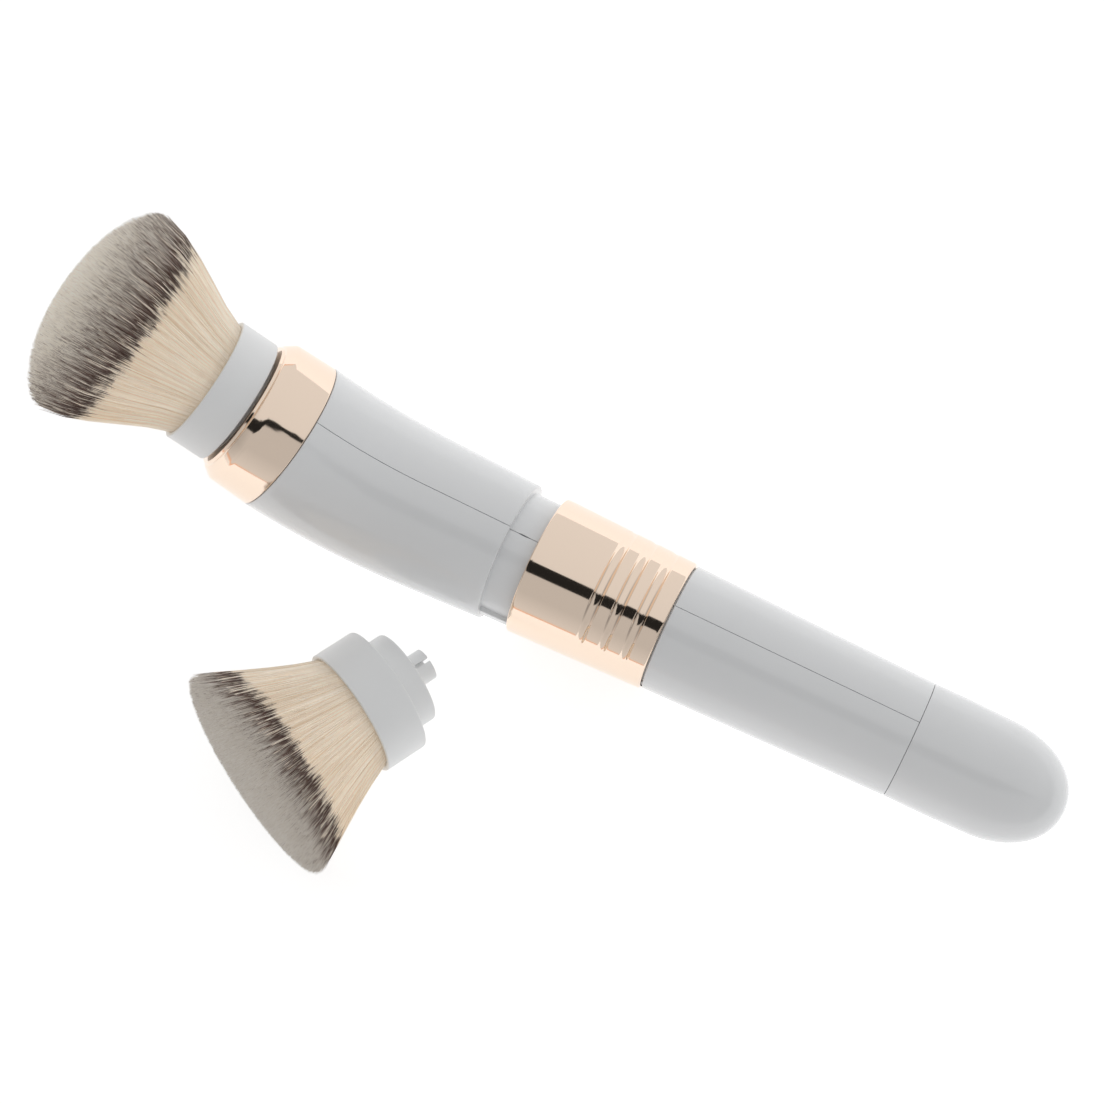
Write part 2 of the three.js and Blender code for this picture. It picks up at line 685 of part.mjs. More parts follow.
function toothedOutline(teeth, rootRadius, tipRadius, inner, phase) {
  const flank = inner ? [rootRadius, tipRadius] : [rootRadius, (MODULE * teeth) / 2, tipRadius];
  const corners = [
    ...flank.map((radius) => [radius, -toothHalfAngle(teeth, radius, inner)]),
    ...flank.reverse().map((radius) => [radius, toothHalfAngle(teeth, radius, inner)]),
  ];
  const points = [];
  for (let i = 0; i < teeth; i += 1) {
    const centre = phase + (2 * Math.PI * i) / teeth;
    corners.forEach(([radius, angle]) => points.push(new THREE.Vector2(
      radius * Math.cos(centre + angle), radius * Math.sin(centre + angle))));
  }
  return points;
}

function circlePath(radius, sides) {
  const points = [];
  for (let i = 0; i < sides; i += 1) {
    const angle = (-2 * Math.PI * i) / sides;
    points.push(new THREE.Vector2(radius * Math.cos(angle), radius * Math.sin(angle)));
  }
  return new THREE.Path(points);
}

const ADDENDUM = 0.9 * MODULE;
const DEDENDUM = 1.25 * MODULE;

function outerGear(teeth, phase, bore, rear, front) {
  const pitchRadius = (MODULE * teeth) / 2;
  const shape = new THREE.Shape(
    toothedOutline(teeth, pitchRadius - DEDENDUM, pitchRadius + ADDENDUM, false, phase));
  shape.holes.push(circlePath(bore, 10));
  return prism(shape, rear, front);
}

function gearboxScrewPlaces() {
  const radius = RING_GEAR_RADIUS - GEARBOX_SCREW_INSET;
  return Array.from({ length: 3 }, (_, i) => {
    const angle = Math.PI / 3 + (2 * Math.PI * i) / 3;
    return [radius * Math.cos(angle), radius * Math.sin(angle)];
  });
}

function atPlace(manifold, [y, z]) {
  return manifold.translate([0, y, z]);
}

function withScrewHoles(manifold, rear, front) {
  const hole = cylinder(rear, front, GEARBOX_SCREW_RADIUS + FIT, 8);
  return gearboxScrewPlaces().reduce((rest, place) => rest.subtract(atPlace(hole, place)), manifold);
}

function ringGear() {
  const pitchRadius = (MODULE * RING_TEETH) / 2;
  const shape = new THREE.Shape(circlePath(RING_GEAR_RADIUS, ROUND).getPoints().reverse());
  const teeth = toothedOutline(RING_TEETH, pitchRadius + DEDENDUM, pitchRadius - ADDENDUM, true, 0);
  shape.holes.push(new THREE.Path(teeth.reverse()));
  const rear = plateFront + FIT;
  const front = coverRear - FIT;
  return withScrewHoles(prism(shape, rear, front), front - GEARBOX_SCREW_DEPTH - 2 * FIT, front + 1);
}

function gearboxCover() {
  const bore = OUTPUT_SHAFT_RADIUS + FIT + OUTPUT_BUSH_WALL + FIT;
  return withScrewHoles(tube(coverRear, coverFront, bore, RING_GEAR_RADIUS), coverRear - 1, coverFront + 1);
}

function gearboxScrew() {
  const seat = coverFront + FIT;
  const end = coverRear - FIT - GEARBOX_SCREW_DEPTH;
  return cylinder(end, seat + GEARBOX_SCREW_HEAD / 2, GEARBOX_SCREW_RADIUS, 8)
    .add(cylinder(seat, seat + GEARBOX_SCREW_HEAD, 2 * GEARBOX_SCREW_RADIUS, 10));
}

const planetRadius = (MODULE * (SUN_TEETH + PLANET_TEETH)) / 2;

function planetPlaces() {
  return Array.from({ length: PLANET_COUNT }, (_, i) => {
    const angle = (2 * Math.PI * i) / PLANET_COUNT;
    return { angle, place: [planetRadius * Math.cos(angle), planetRadius * Math.sin(angle)] };
  });
}

// The carrier: a disc with a pin for each planet and the output shaft in front.
function planetCarrier() {
  let carrier = cylinder(carrierRear, carrierFront, CARRIER_RADIUS, ROUND)
    .add(cylinder(carrierRear + GRIP, hubFloor - HUB_BASE_THICKNESS / 2, OUTPUT_SHAFT_RADIUS, SMALL_ROUND));
  planetPlaces().forEach(({ place }) => {
    carrier = carrier.add(atPlace(cylinder(planetRear, carrierRear + GRIP, PLANET_PIN_RADIUS, 10), place));
  });
  return carrier;
}

// The hub that turns the brush head: a round socket with a blade across it, which the spigot's slot
// slides over, on a base that grips the output shaft.
function driveHub() {
  const socket = SPIGOT_RADIUS + FIT;
  const bladeHalf = SPIGOT_SLOT_WIDTH / 2 - FIT / 2;
  const cup = turned([
    [hubRear, 0],
    [hubRear, HUB_RADIUS],
    [hubFront, HUB_RADIUS],
    [hubFront, socket],
    [hubFloor, socket],
    [hubFloor, 0],
  ], 1.5 * SMALL_ROUND);
  const blade = block([hubFloor - GRIP, spigotEnd + SPIGOT_SLOT_DEPTH - 2 * FIT],
    [-socket - GRIP, socket + GRIP], [-bladeHalf, bladeHalf]);
  const shaftHole = cylinder(hubRear - 1, hubFloor - HUB_BASE_THICKNESS / 2 + FIT,
    OUTPUT_SHAFT_RADIUS + FIT, SMALL_ROUND);
  return cup.add(blade).subtract(shaftHole);
}

function nosePlate() {
  const rear = between([hubFloor, hubFront], 0.3);
  return tube(rear, rear + NOSE_PLATE_THICKNESS, HUB_RADIUS + 2 * FIT, shellSpigotRadius - NECK_WALL - FIT);
}

function gearboxPlate() {
  return tube(plateRear, plateFront, (MODULE * SUN_TEETH) / 2 + ADDENDUM + FIT, RING_GEAR_RADIUS);
}

// ---------------------------------------------------------------- motor

// A round section with flats above and below, as small motors have.
function flattened(manifold, height, rear, front) {
  const reach = 2 * MOTOR_RADIUS;
  return manifold.intersect(block([rear, front], [-reach, reach], [-height / 2, height / 2]));
}

function motorCan() {
  const wall = MOTOR_WALL;
  const inside = flattened(cylinder(motorRear - 1, motorFront - wall, MOTOR_RADIUS - wall, ROUND),
    MOTOR_HEIGHT - 2 * wall, motorRear - 2, motorFront);
  return flattened(cylinder(motorRear, motorFront, MOTOR_RADIUS, ROUND), MOTOR_HEIGHT, motorRear, motorFront)
    .subtract(inside)
    .subtract(cylinder(motorFront - 2, motorFront + 1, MOTOR_SHAFT_RADIUS + FIT, 10));
}

function motorEndCap() {
  return flattened(cylinder(motorCapRear, motorCapFront, MOTOR_RADIUS - FIT, ROUND),
    MOTOR_HEIGHT - 2 * FIT, motorCapRear, motorCapFront)
    .subtract(cylinder(motorCapRear - 1, motorCapFront + 1, MOTOR_SHAFT_RADIUS + FIT, 10));
}

function motorTerminal(side) {
  const front = motorCapRear - FIT;
  const middle = side * TERMINAL_OFFSET;
  return block([front - TERMINAL_LENGTH, front],
    [middle - TERMINAL_SHEET / 2, middle + TERMINAL_SHEET / 2], [-TERMINAL_WIDTH / 2, TERMINAL_WIDTH / 2]);
}

// One of the two field magnets, a curved slab against the can's wall.
function motorMagnet(side) {
  const outer = MOTOR_RADIUS - MOTOR_WALL - FIT;
  const rear = motorRear + MAGNET_REAR_GAP;
  const front = motorFront - MOTOR_WALL - MAGNET_FRONT_GAP;
  const reach = MOTOR_HEIGHT / 2 - MOTOR_WALL - 1;
  return tube(rear, front, outer - MAGNET_THICKNESS, outer, ROUND)
    .intersect(block([rear - 1, front + 1], side > 0 ? [1, 2 * outer] : [-2 * outer, -1], [-reach, reach]));
}

const armatureFront = motorFront - MOTOR_WALL - ARMATURE_FRONT_GAP;

// The wound core: a round body with slots for the windings.
function armature() {
  const rear = armatureFront - ARMATURE_LENGTH;
  let core = tube(rear, armatureFront, MOTOR_SHAFT_RADIUS + FIT, ARMATURE_RADIUS, 24);
  const half = ARMATURE_SLOT_WIDTH / 2;
  const slot = block(
    [rear - 1, armatureFront + 1], [-half, half], [0.6 * ARMATURE_RADIUS, 2 * ARMATURE_RADIUS]);
  for (let i = 0; i < ARMATURE_SLOTS; i += 1) {
    core = core.subtract(slot.rotate([(360 * (i + 0.5)) / ARMATURE_SLOTS, 0, 0]));
  }
  return core;
}

function motorShaft() {
  return cylinder(motorCapRear + FIT, planetFront, MOTOR_SHAFT_RADIUS, SMALL_ROUND);
}

function sunPinion() {
  return outerGear(SUN_TEETH, 0, MOTOR_SHAFT_RADIUS + FIT, planetRear, planetFront);
}

// ---------------------------------------------------------------- batteries, switch and wiring

// An AAA cell with its button towards the front or the rear.
function cell(buttonForward) {
  const rear = buttonForward ? cellRear : cellRear + CELL_BUTTON_LENGTH;
  const front = rear + CELL_LENGTH;
  const button = buttonForward
    ? cylinder(front - GRIP, front + CELL_BUTTON_LENGTH, CELL_BUTTON_RADIUS, 12)
    : cylinder(rear - CELL_BUTTON_LENGTH, rear + GRIP, CELL_BUTTON_RADIUS, 12);
  return cylinder(rear, front, CELL_RADIUS, 24).add(button);
}

// The moulded holder: a disc in front of the cells and a rail above and below them.
function batteryHolder() {
  const radius = handleBoreRadius(holderRear) - FIT;
  const half = HOLDER_RAIL_WIDTH / 2;
  const low = CELL_RADIUS - CELL_GAP / 2;
  const high = low + CELL_GAP / 2 + HOLDER_RAIL_HEIGHT;
  const along = [cellRear + HOLDER_RAIL_START, holderRear + GRIP];
  return cylinder(holderRear, holderFront, radius)
    .add(block(along, [-half, half], [low, high]))
    .add(block(along, [-half, half], [-high, -low]));
}

function contactSpring() {
  const front = holderRear - FIT - SPRING_WIRE_RADIUS;
  const rear = holderRear - SPRING_LENGTH + SPRING_WIRE_RADIUS;
  class Coil extends THREE.Curve {
    getPoint(share, target = new THREE.Vector3()) {
      const angle = 2 * Math.PI * SPRING_TURNS * share;
      const radius = between([SPRING_FRONT_RADIUS, SPRING_REAR_RADIUS], share);
      return target.set(-between([front, rear], share), radius * Math.cos(angle), radius * Math.sin(angle));
    }
  }
  const section = new THREE.Shape();
  section.absarc(0, 0, SPRING_WIRE_RADIUS, 0, 2 * Math.PI);
  const geometry = new THREE.ExtrudeGeometry(section, {
    steps: 12 * SPRING_TURNS, curveSegments: 3, extrudePath: new Coil() });
  return solid(geometry);
}

// A folded strip that the front cell's button presses on.
function contactStrip() {
  const back = cellFront + FIT;
  const seat = holderRear - FIT;
  const sheet = CONTACT_SHEET;
  const half = CONTACT_WIDTH / 2;
  return plate([
    [back, -half], [back, half], [back + sheet, half], [back + sheet, -half + sheet],
    [seat - sheet, -half + sheet], [seat - sheet, half], [seat, half], [seat, -half],
  ], CONTACT_WIDTH);
}

function capContact() {
  const front = cellRear - 2 * FIT;
  const half = spigotRadius - CAP_SPIGOT_WALL - 1;
  return block([front - CAP_CONTACT_THICKNESS, front], [-half, half],
    [-CAP_CONTACT_WIDTH / 2, CAP_CONTACT_WIDTH / 2]);
}

function capGasket() {
  const middle = handleRear + CAP_SPIGOT_LENGTH / 2;
  return tube(middle - GASKET_LENGTH / 2, middle + GASKET_LENGTH / 2,
    spigotRadius + FIT, HANDLE_REAR_RADIUS - HANDLE_WALL - FIT);
}

function circuitBoard() {
  const half = BOARD_WIDTH / 2;
  return block([boardFront - BOARD_LENGTH, boardFront], [-half, half],
    [BOARD_HEIGHT, BOARD_HEIGHT + BOARD_THICKNESS]);
}

function switchBody() {
  const half = SWITCH_WIDTH / 2;
  return block([switchRear, switchRear + SWITCH_LENGTH], [-half, half],
    [switchFloor, switchFloor + SWITCH_HEIGHT]);
}

function switchKnob() {
  const half = KNOB_WIDTH / 2;
  return block([knobRear, knobRear + KNOB_LENGTH], [-half, half], [knobFloor, knobFloor + KNOB_HEIGHT]);
}

// The bridge under the collar: a fin through the track's slot, ending in a fork over the switch knob.
function sliderBridge() {
  const rear = BRIDGE_FRONT_STATION - BRIDGE_LENGTH;
  const front = BRIDGE_FRONT_STATION;
  const top = collarBoreRadius(TRACK_INSIDE_RADII, rear) - 1.5 * FIT;
  const yoke = knobFloor + KNOB_HEIGHT + FIT;
  const yokeTop = yoke + BRIDGE_YOKE_HEIGHT;
  const toe = knobFloor + FIT;
  const forkRear = knobRear - FIT;
  const forkFront = knobRear + KNOB_LENGTH + FIT;
  const leg = BRIDGE_LEG;
  return plate([
    [rear, top], [front, top], [front, yokeTop], [forkFront + leg, yokeTop], [forkFront + leg, toe],
    [forkFront, toe], [forkFront, yoke], [forkRear, yoke], [forkRear, toe], [forkRear - leg, toe],
    [forkRear - leg, yokeTop], [rear, yokeTop],
  ], BRIDGE_THICKNESS);
}

const wireHeight = BOARD_HEIGHT + BOARD_THICKNESS + FIT + WIRE_RADIUS;

function batteryWire(side) {
  const boardRear = boardFront - BOARD_LENGTH;
  return wire([
    new THREE.Vector3(-(holderFront + FIT), side * 2, 0),
    new THREE.Vector3(-(bulkheadFront + 2), side * 2.4, -0.5),
    new THREE.Vector3(-(boardRear + 1), side * 4, wireHeight + 0.6),
    new THREE.Vector3(-(boardRear + 5), side * 5, wireHeight),
  ], WIRE_RADIUS);
}

// From the board's front end, along the floor of the neck, to one of the motor's terminals.
function motorWire(side) {
  const terminalRear = motorCapRear - FIT - TERMINAL_LENGTH;
  const end = new THREE.Vector3(-(terminalRear - FIT - WIRE_RADIUS), side * TERMINAL_OFFSET, 0)
    .applyMatrix4(noseMatrix());
  const start = new THREE.Vector3(-(boardFront - 3), side * 5, wireHeight);
  const overEdge = new THREE.Vector3(-(boardFront + 1.5), side * 5, wireHeight + 0.4);
  return wire([start, overEdge, end], WIRE_RADIUS);
}

// ---------------------------------------------------------------- materials

function material(color, roughness, metalness = 0) {
  return new THREE.MeshStandardMaterial({ color, roughness, metalness });
}

const gloss = material(0xeef0f2, 0.12);
const satin = material(0xe9e9e6, 0.42);
const roseGold = material(0xe3bfa6, 0.1, 1);
const hair = material(0xe6d8c4, 0.9);
const darkHair = material(0xded2c2, 0.9);
const nylon = material(0xd9d7cf, 0.5);
const brass = material(0xc9a65a, 0.3, 1);
const steel = material(0xb9bcc0, 0.28, 1);
const darkPlastic = material(0x2b2c2e, 0.5);
const copper = material(0xb87343, 0.35, 1);
const ferrite = material(0x3a3a3d, 0.7);
const board = material(0x2f6b45, 0.5);
const redWire = material(0xb3302a, 0.45);
const blackWire = material(0x26262a, 0.45);
const cellSleeve = material(0x6c7074, 0.3, 0.4);
const rubber = material(0x303030, 0.8);

// ---------------------------------------------------------------- assembly

const group = new THREE.Group();
const handle = new THREE.Group();
const nose = new THREE.Group();
const spare = new THREE.Group();
group.add(handle, spare);
handle.add(nose);
nose.position.set(spine(neckFront).x, 0, spine(neckFront).z);
nose.rotation.y = BEND_ANGLE;

function place(parent, name, manifold, look, [y, z] = [0, 0]) {
  const mesh = new THREE.Mesh(geometryOf(manifold), look);
  mesh.name = name;
  mesh.position.set(0, y, z);
  parent.add(mesh);
}

place(handle, 'shell_left', shellHalf(1), gloss);
place(handle, 'shell_right', shellHalf(-1), gloss);
place(handle, 'slider_collar', collar(), roseGold);
place(handle, 'slider_bridge', sliderBridge(), darkPlastic);
place(handle, 'switch_knob', switchKnob(), darkPlastic);
place(handle, 'switch_body', switchBody(), steel);
place(handle, 'circuit_board', circuitBoard(), board);
place(handle, 'battery_holder', batteryHolder(), darkPlastic);
place(handle, 'cell_left', cell(true), cellSleeve, [cellOffset, 0]);
place(handle, 'cell_right', cell(false), cellSleeve, [-cellOffset, 0]);
place(handle, 'contact_strip', contactStrip(), brass, [cellOffset, 0]);
place(handle, 'contact_spring', contactSpring(), steel, [-cellOffset, 0]);
place(handle, 'battery_wire_red', batteryWire(1), redWire);
place(handle, 'battery_wire_black', batteryWire(-1), blackWire);
place(handle, 'motor_wire_red', motorWire(1), redWire);
place(handle, 'motor_wire_black', motorWire(-1), blackWire);
place(handle, 'battery_cap', batteryCap(), gloss);
place(handle, 'cap_contact', capContact(), brass);
place(handle, 'cap_gasket', capGasket(), rubber);

place(nose, 'front_trim_ring', trimRing(), roseGold);
place(nose, 'nose_plate', nosePlate(), nylon);
place(nose, 'gearbox_cover', gearboxCover(), nylon);
place(nose, 'output_bush', tube(coverRear - FIT, coverFront + FIT, OUTPUT_SHAFT_RADIUS + FIT,
  OUTPUT_SHAFT_RADIUS + FIT + OUTPUT_BUSH_WALL, SMALL_ROUND), brass);
place(nose, 'ring_gear', ringGear(), nylon);
place(nose, 'gearbox_plate', gearboxPlate(), nylon);
gearboxScrewPlaces().forEach((at, i) => place(nose, `gearbox_screw_${i + 1}`, gearboxScrew(), steel, at));
place(nose, 'planet_carrier', planetCarrier(), nylon);
place(nose, 'drive_hub', driveHub(), nylon);
planetPlaces().forEach(({ angle, place: at }, i) => {
  const phase = angle + Math.PI + Math.PI / PLANET_TEETH;
  place(nose, `planet_gear_${i + 1}`,
    outerGear(PLANET_TEETH, phase, PLANET_PIN_RADIUS + FIT, planetRear, planetFront), nylon, at);
});
place(nose, 'sun_pinion', sunPinion(), brass);
place(nose, 'motor_shaft', motorShaft(), steel);
place(nose, 'motor_armature', armature(), copper);
place(nose, 'motor_can', motorCan(), steel);
place(nose, 'motor_end_cap', motorEndCap(), darkPlastic);
[['left', 1], ['right', -1]].forEach(([word, side]) => {
  place(nose, `motor_magnet_${word}`, motorMagnet(side), ferrite);
  place(nose, `motor_terminal_${word}`, motorTerminal(side), brass);
});

place(nose, 'brush_ferrule_cup', ferruleCup(cupFront), satin);
place(nose, 'brush_plug', headPlug(), satin);
place(nose, 'brush_bristles', domedBristles(), hair);
place(spare, 'spare_ferrule_cup', ferruleCup(spareCupFront), satin);
place(spare, 'spare_plug', headPlug().rotate([SPARE_SLOT_TURN, 0, 0]), satin);
place(spare, 'spare_bristles', flatBristles(), darkHair);

// The handle lies on the back of its neck and its cap, rolled a little to one side.
const restPitch = Math.atan2(neckRadius(BEND_START) - CAP_DOME_RADIUS, BEND_START - domeStart);
handle.rotation.set(REST_ROLL, restPitch, 0, 'YXZ');

// The spare head lies on its cup's rear edge and the rim of its bristles.
const spareTilt = Math.atan2(
  SPARE_FAN_RADIUS - CUP_RADIUS, SPARE_FAN_LENGTH - SPARE_EDGE_ROUNDING + SPARE_CUP_LENGTH);
const heading = Math.atan2(-SPARE_HEADING[1], -SPARE_HEADING[0]);
spare.rotation.set(0, spareTilt, heading, 'ZYX');
const rim = new THREE.Vector3(-spareCupFront, 0, 0).applyEuler(spare.rotation);
spare.position.set(SPARE_OFFSET[0] - rim.x, SPARE_OFFSET[1] - rim.y, 0);

// Both lie on the table, and the whole stands with its origin under the middle of its box.
function lowest(object) {
  object.updateMatrixWorld(true);
  return new THREE.Box3().setFromObject(object, true).min.z;
}

handle.position.z -= lowest(handle);
spare.position.z -= lowest(spare);
const bounds = new THREE.Box3().setFromObject(group, true);
const middle = bounds.getCenter(new THREE.Vector3());
handle.position.x -= middle.x;
handle.position.y -= middle.y;
spare.position.x -= middle.x;
spare.position.y -= middle.y;
group.updateMatrixWorld(true);

export default group;
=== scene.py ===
import json
import math

import bmesh
import bpy
import numpy as np
from bpy.props import FloatProperty, FloatVectorProperty, IntProperty, PointerProperty
from mathutils import Matrix, Vector


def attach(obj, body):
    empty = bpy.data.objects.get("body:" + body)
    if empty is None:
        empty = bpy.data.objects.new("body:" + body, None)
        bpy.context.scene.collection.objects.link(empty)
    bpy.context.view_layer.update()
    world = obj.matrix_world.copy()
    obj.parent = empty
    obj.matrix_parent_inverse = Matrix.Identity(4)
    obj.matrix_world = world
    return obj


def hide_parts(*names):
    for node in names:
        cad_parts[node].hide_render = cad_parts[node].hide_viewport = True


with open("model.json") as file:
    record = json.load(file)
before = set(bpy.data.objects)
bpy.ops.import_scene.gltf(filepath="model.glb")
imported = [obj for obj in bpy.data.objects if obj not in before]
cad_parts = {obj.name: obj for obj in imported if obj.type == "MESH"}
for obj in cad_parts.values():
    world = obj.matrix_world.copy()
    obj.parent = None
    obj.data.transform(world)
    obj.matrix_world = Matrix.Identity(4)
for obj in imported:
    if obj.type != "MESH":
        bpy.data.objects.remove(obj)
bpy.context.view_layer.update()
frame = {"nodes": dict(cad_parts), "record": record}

bl_info = {
    "name": "Spinning make-up brush",
    "version": (1, 0, 0),
    "blender": (4, 5, 0),
    "location": "View3D > Sidebar > Make-up Brush",
    "description": "Builds the handle, brush heads and inner pieces of a spinning make-up brush",
    "category": "Add Mesh",
}

MM = 0.001
RECORD = frame["record"]
JOINTS = {joint["name"]: joint for joint in RECORD["behaviour"]["joints"]}
MOUNTS = {mount["name"]: mount for mount in RECORD["mounts"]}


# ------------------------------------------------------------------ sizes and colours

def length(name, description, millimetres):
    return FloatProperty(name=name, description=description, default=millimetres * MM, min=0, unit="LENGTH")


def angle(name, description, degrees):
    return FloatProperty(name=name, description=description, default=math.radians(degrees), subtype="ANGLE")


def colour(name, description, value):
    return FloatVectorProperty(name=name, description=description, default=value, size=3, min=0, max=1,
                               subtype="COLOR")


def count(name, description, value):
    return IntProperty(name=name, description=description, default=value, min=1)


class HandleSizes(bpy.types.PropertyGroup):
    bend_start: length("Bend start", "Straight length in front of the collar's front edge", 27)
    neck_rear: length("Neck rear", "Where the neck starts, in front of the collar's front edge", 6.6)
    neck_length: length("Neck length", "Length of the neck along its middle line", 53.8)
    neck_rear_radius: length("Neck rear radius", "Radius of the neck behind the bend", 15.4)
    neck_middle_radius: length("Neck middle radius", "Radius half-way along the neck", 16.6)
    neck_front_radius: length("Neck front radius", "Radius of the neck at the trim ring", 17.28)
    collar_length: length("Collar length", "Length of the slider collar", 30.8)
    handle_length: length("Handle length", "Length of the rear handle", 54.8)
    handle_front_radius: length("Handle front radius", "Radius behind the collar", 14.07)
    handle_rear_radius: length("Handle rear radius", "Radius at the battery cap", 12.76)
    track_back_rear: length("Track back, rear", "Radius of the track's outer half at its rear end", 13.6)
    track_back_front: length("Track back, front", "Radius of the track's outer half at its front end", 14.6)
    track_inside_rear: length("Track inside, rear", "Radius of the recessed half at its rear end", 13.2)
    track_inside_front: length("Track inside, front", "Radius of the recessed half at its front end", 13.7)
    wall: length("Wall", "Thickness of the shells", 1.5)
    fit: length("Fit", "Gap between pieces that touch", 0.3)
    seam: length("Seam", "Half of the gap between the two shells", 0.06)
    cap_length: length("Cap length", "Length of the battery cap", 34.2)
    dome_radius: length("Dome radius", "Radius of the cap where its dome starts", 12.6)
    dome_depth: length("Dome depth", "Depth of the cap's dome", 17.5)


class CollarSizes(bpy.types.PropertyGroup):
    front_radius: length("Front radius", "Outer radius at the front edge", 15.5)
    rear_radius: length("Rear radius", "Outer radius at the rear edge", 14.5)
    travel: length("Travel", "How far the collar slides forward", 6)
    groove_first: length("First groove", "Distance of the first groove behind the front edge", 16.1)
    groove_pitch: length("Groove pitch", "Distance from groove to groove", 4.9)
    groove_depth: length("Groove depth", "Depth at the middle of a groove", 0.8)
    groove_tube: length("Groove radius", "Radius of the groove's hollow", 1.3)
    groove_half_angle: angle("Groove reach", "Angle from a groove's middle to its pointed end", 75)


class HeadSizes(bpy.types.PropertyGroup):
    ring_length: length("Ring length", "Length of the trim ring", 12.1)
    ring_chamfer: length("Ring chamfer", "Length of the trim ring's sloping front", 2.8)
    ring_chamfer_radius: length("Chamfer radius", "Radius where the slope starts", 16.9)
    ring_lip_radius: length("Lip radius", "Radius at the front of the slope", 14.95)
    ring_mouth_radius: length("Mouth radius", "Radius of the opening for the brush head", 11.4)
    gap: length("Head gap", "Gap between the trim ring and the ferrule cup", 0.8)
    cup_radius: length("Cup radius", "Outer radius of the ferrule cup", 14.39)
    cup_length: length("Cup length", "Length of the ferrule cup", 8.8)
    spare_cup_length: length("Spare cup length", "Length of the spare head's ferrule cup", 9.7)
    cup_wall: length("Cup wall", "Thickness of the cup's wall", 1.1)
    disc_radius: length("Disc radius", "Radius of the plug's disc", 10.6)
    disc_thickness: length("Disc thickness", "Thickness of the plug's disc", 4.9)
    spigot_radius: length("Spigot radius", "Radius of the slotted spigot", 3.6)
    spigot_bore: length("Spigot bore", "Radius of the hole in the spigot", 2.2)
    spigot_length: length("Spigot length", "Length of the spigot", 5.2)
    slot_width: length("Slot width", "Width of the spigot's slot", 0.9)
    slot_depth: length("Slot depth", "Depth of the spigot's slot", 3.4)


class BristleSizes(bpy.types.PropertyGroup):
    root_radius: length("Root radius", "Radius of the bundle at the cup's rim", 13.25)
    domed_belly: length("Domed belly", "Largest radius of the domed bristles", 23.0)
    domed_length: length("Domed length", "Distance from the rim to the largest radius", 24.0)
    domed_crown: length("Domed crown", "Height of the dome above the largest radius", 10.3)
    flat_belly: length("Flat belly", "Largest radius of the flat-topped bristles", 23.8)
    flat_length: length("Flat length", "Length of the flat-topped bristles", 23.2)
    flat_crown: length("Flat crown", "How much the flat top stands out in the middle", 3.0)
    domed_band: length("Domed band", "Distance from the rim to the domed bristles' dark band", 18.9)
    flat_band: length("Flat band", "Distance from the rim to the flat-topped bristles' dark band", 18.3)
    filament_radius: length("Filament radius", "Radius of a filament", 0.12)
    outer_count: count("Outer filaments", "Filaments in the outer layer", 6000)
    inner_count: count("Inner filaments", "Filaments inside", 24000)


class Finishes(bpy.types.PropertyGroup):
    gloss_white: colour("Gloss white", "Shells and battery cap", (0.83, 0.84, 0.85))
    satin_white: colour("Satin white", "Ferrule cups and plugs", (0.87, 0.88, 0.885))
    rose_gold: colour("Rose gold", "Collar and trim ring", (0.95, 0.78, 0.64))
    cream: colour("Cream", "Filaments near the cup", (0.93, 0.83, 0.70))
    band: colour("Band", "Dark band half-way up the filaments", (0.052, 0.024, 0.018))
    band_end: colour("Band end", "Where the band has faded", (0.55, 0.51, 0.47))
    tip: colour("Tip", "Ends of the domed filaments", (0.92, 0.90, 0.85))
    flat_tip: colour("Flat tip", "Ends of the flat-topped filaments", (0.73, 0.71, 0.68))
    floor: colour("Floor", "The table", (0.55, 0.55, 0.55))


GROUPS = {
    "brush_handle": HandleSizes,
    "brush_collar": CollarSizes,
    "brush_head": HeadSizes,
    "brush_bristles": BristleSizes,
    "brush_finishes": Finishes,
}


# ------------------------------------------------------------------ where things are

def axis_of(joint):
    return Vector(JOINTS[joint]["axis"]).normalized()


def placement(x_axis, z_hint, origin):
    """The frame of a piece whose X runs against its stations and whose Z lies near z_hint."""
    x_axis = x_axis.normalized()
    y_axis = z_hint.cross(x_axis).normalized()
    z_axis = x_axis.cross(y_axis)
    place = Matrix((x_axis, y_axis, z_axis)).transposed().to_4x4()
    place.translation = origin
    return place


BEND_ANGLE = axis_of("collar_slide").angle(axis_of("drive_spin"))
NOSE = placement(-axis_of("drive_spin"), -axis_of("collar_slide"), Vector(JOINTS["drive_spin"]["pos_m"]))


class Spine:
    """The handle's middle line: straight, an arc, then straight along the nose."""

    def __init__(self, sizes):
        self.start = sizes.bend_start
        self.front = sizes.neck_rear + sizes.neck_length
        self.radius = (self.front - self.start) / BEND_ANGLE
        forward, nose = axis_of("collar_slide"), axis_of("drive_spin")
        inside = (nose - forward * nose.dot(forward)).normalized()
        reach = self.start + self.radius * math.sin(BEND_ANGLE)
        rise = self.radius * (1 - math.cos(BEND_ANGLE))
        origin = Vector(JOINTS["drive_spin"]["pos_m"]) - forward * reach - inside * rise
        self.place = placement(-forward, inside, origin)

    def bend(self, points):
        """Carries straight points, with X against the stations, onto the middle line."""
        station, height = -points[..., 0], points[..., 2]
        turn = np.clip((station - self.start) / self.radius, 0, BEND_ANGLE)
        past = np.maximum(0, station - self.front)
        along = np.minimum(station, self.start) + self.radius * np.sin(turn) + past * np.cos(turn)
        rise = self.radius * (1 - np.cos(turn)) + past * np.sin(turn)
        bent = points.copy()
        bent[..., 0] = -along + height * np.sin(turn)
        bent[..., 2] = rise + height * np.cos(turn)
        return bent


# The seat's point on the spare head's disc, from the frame of that head.
SEAT_HEIGHT = 7.5 * MM
SEAT_STATION = 7.7 * MM


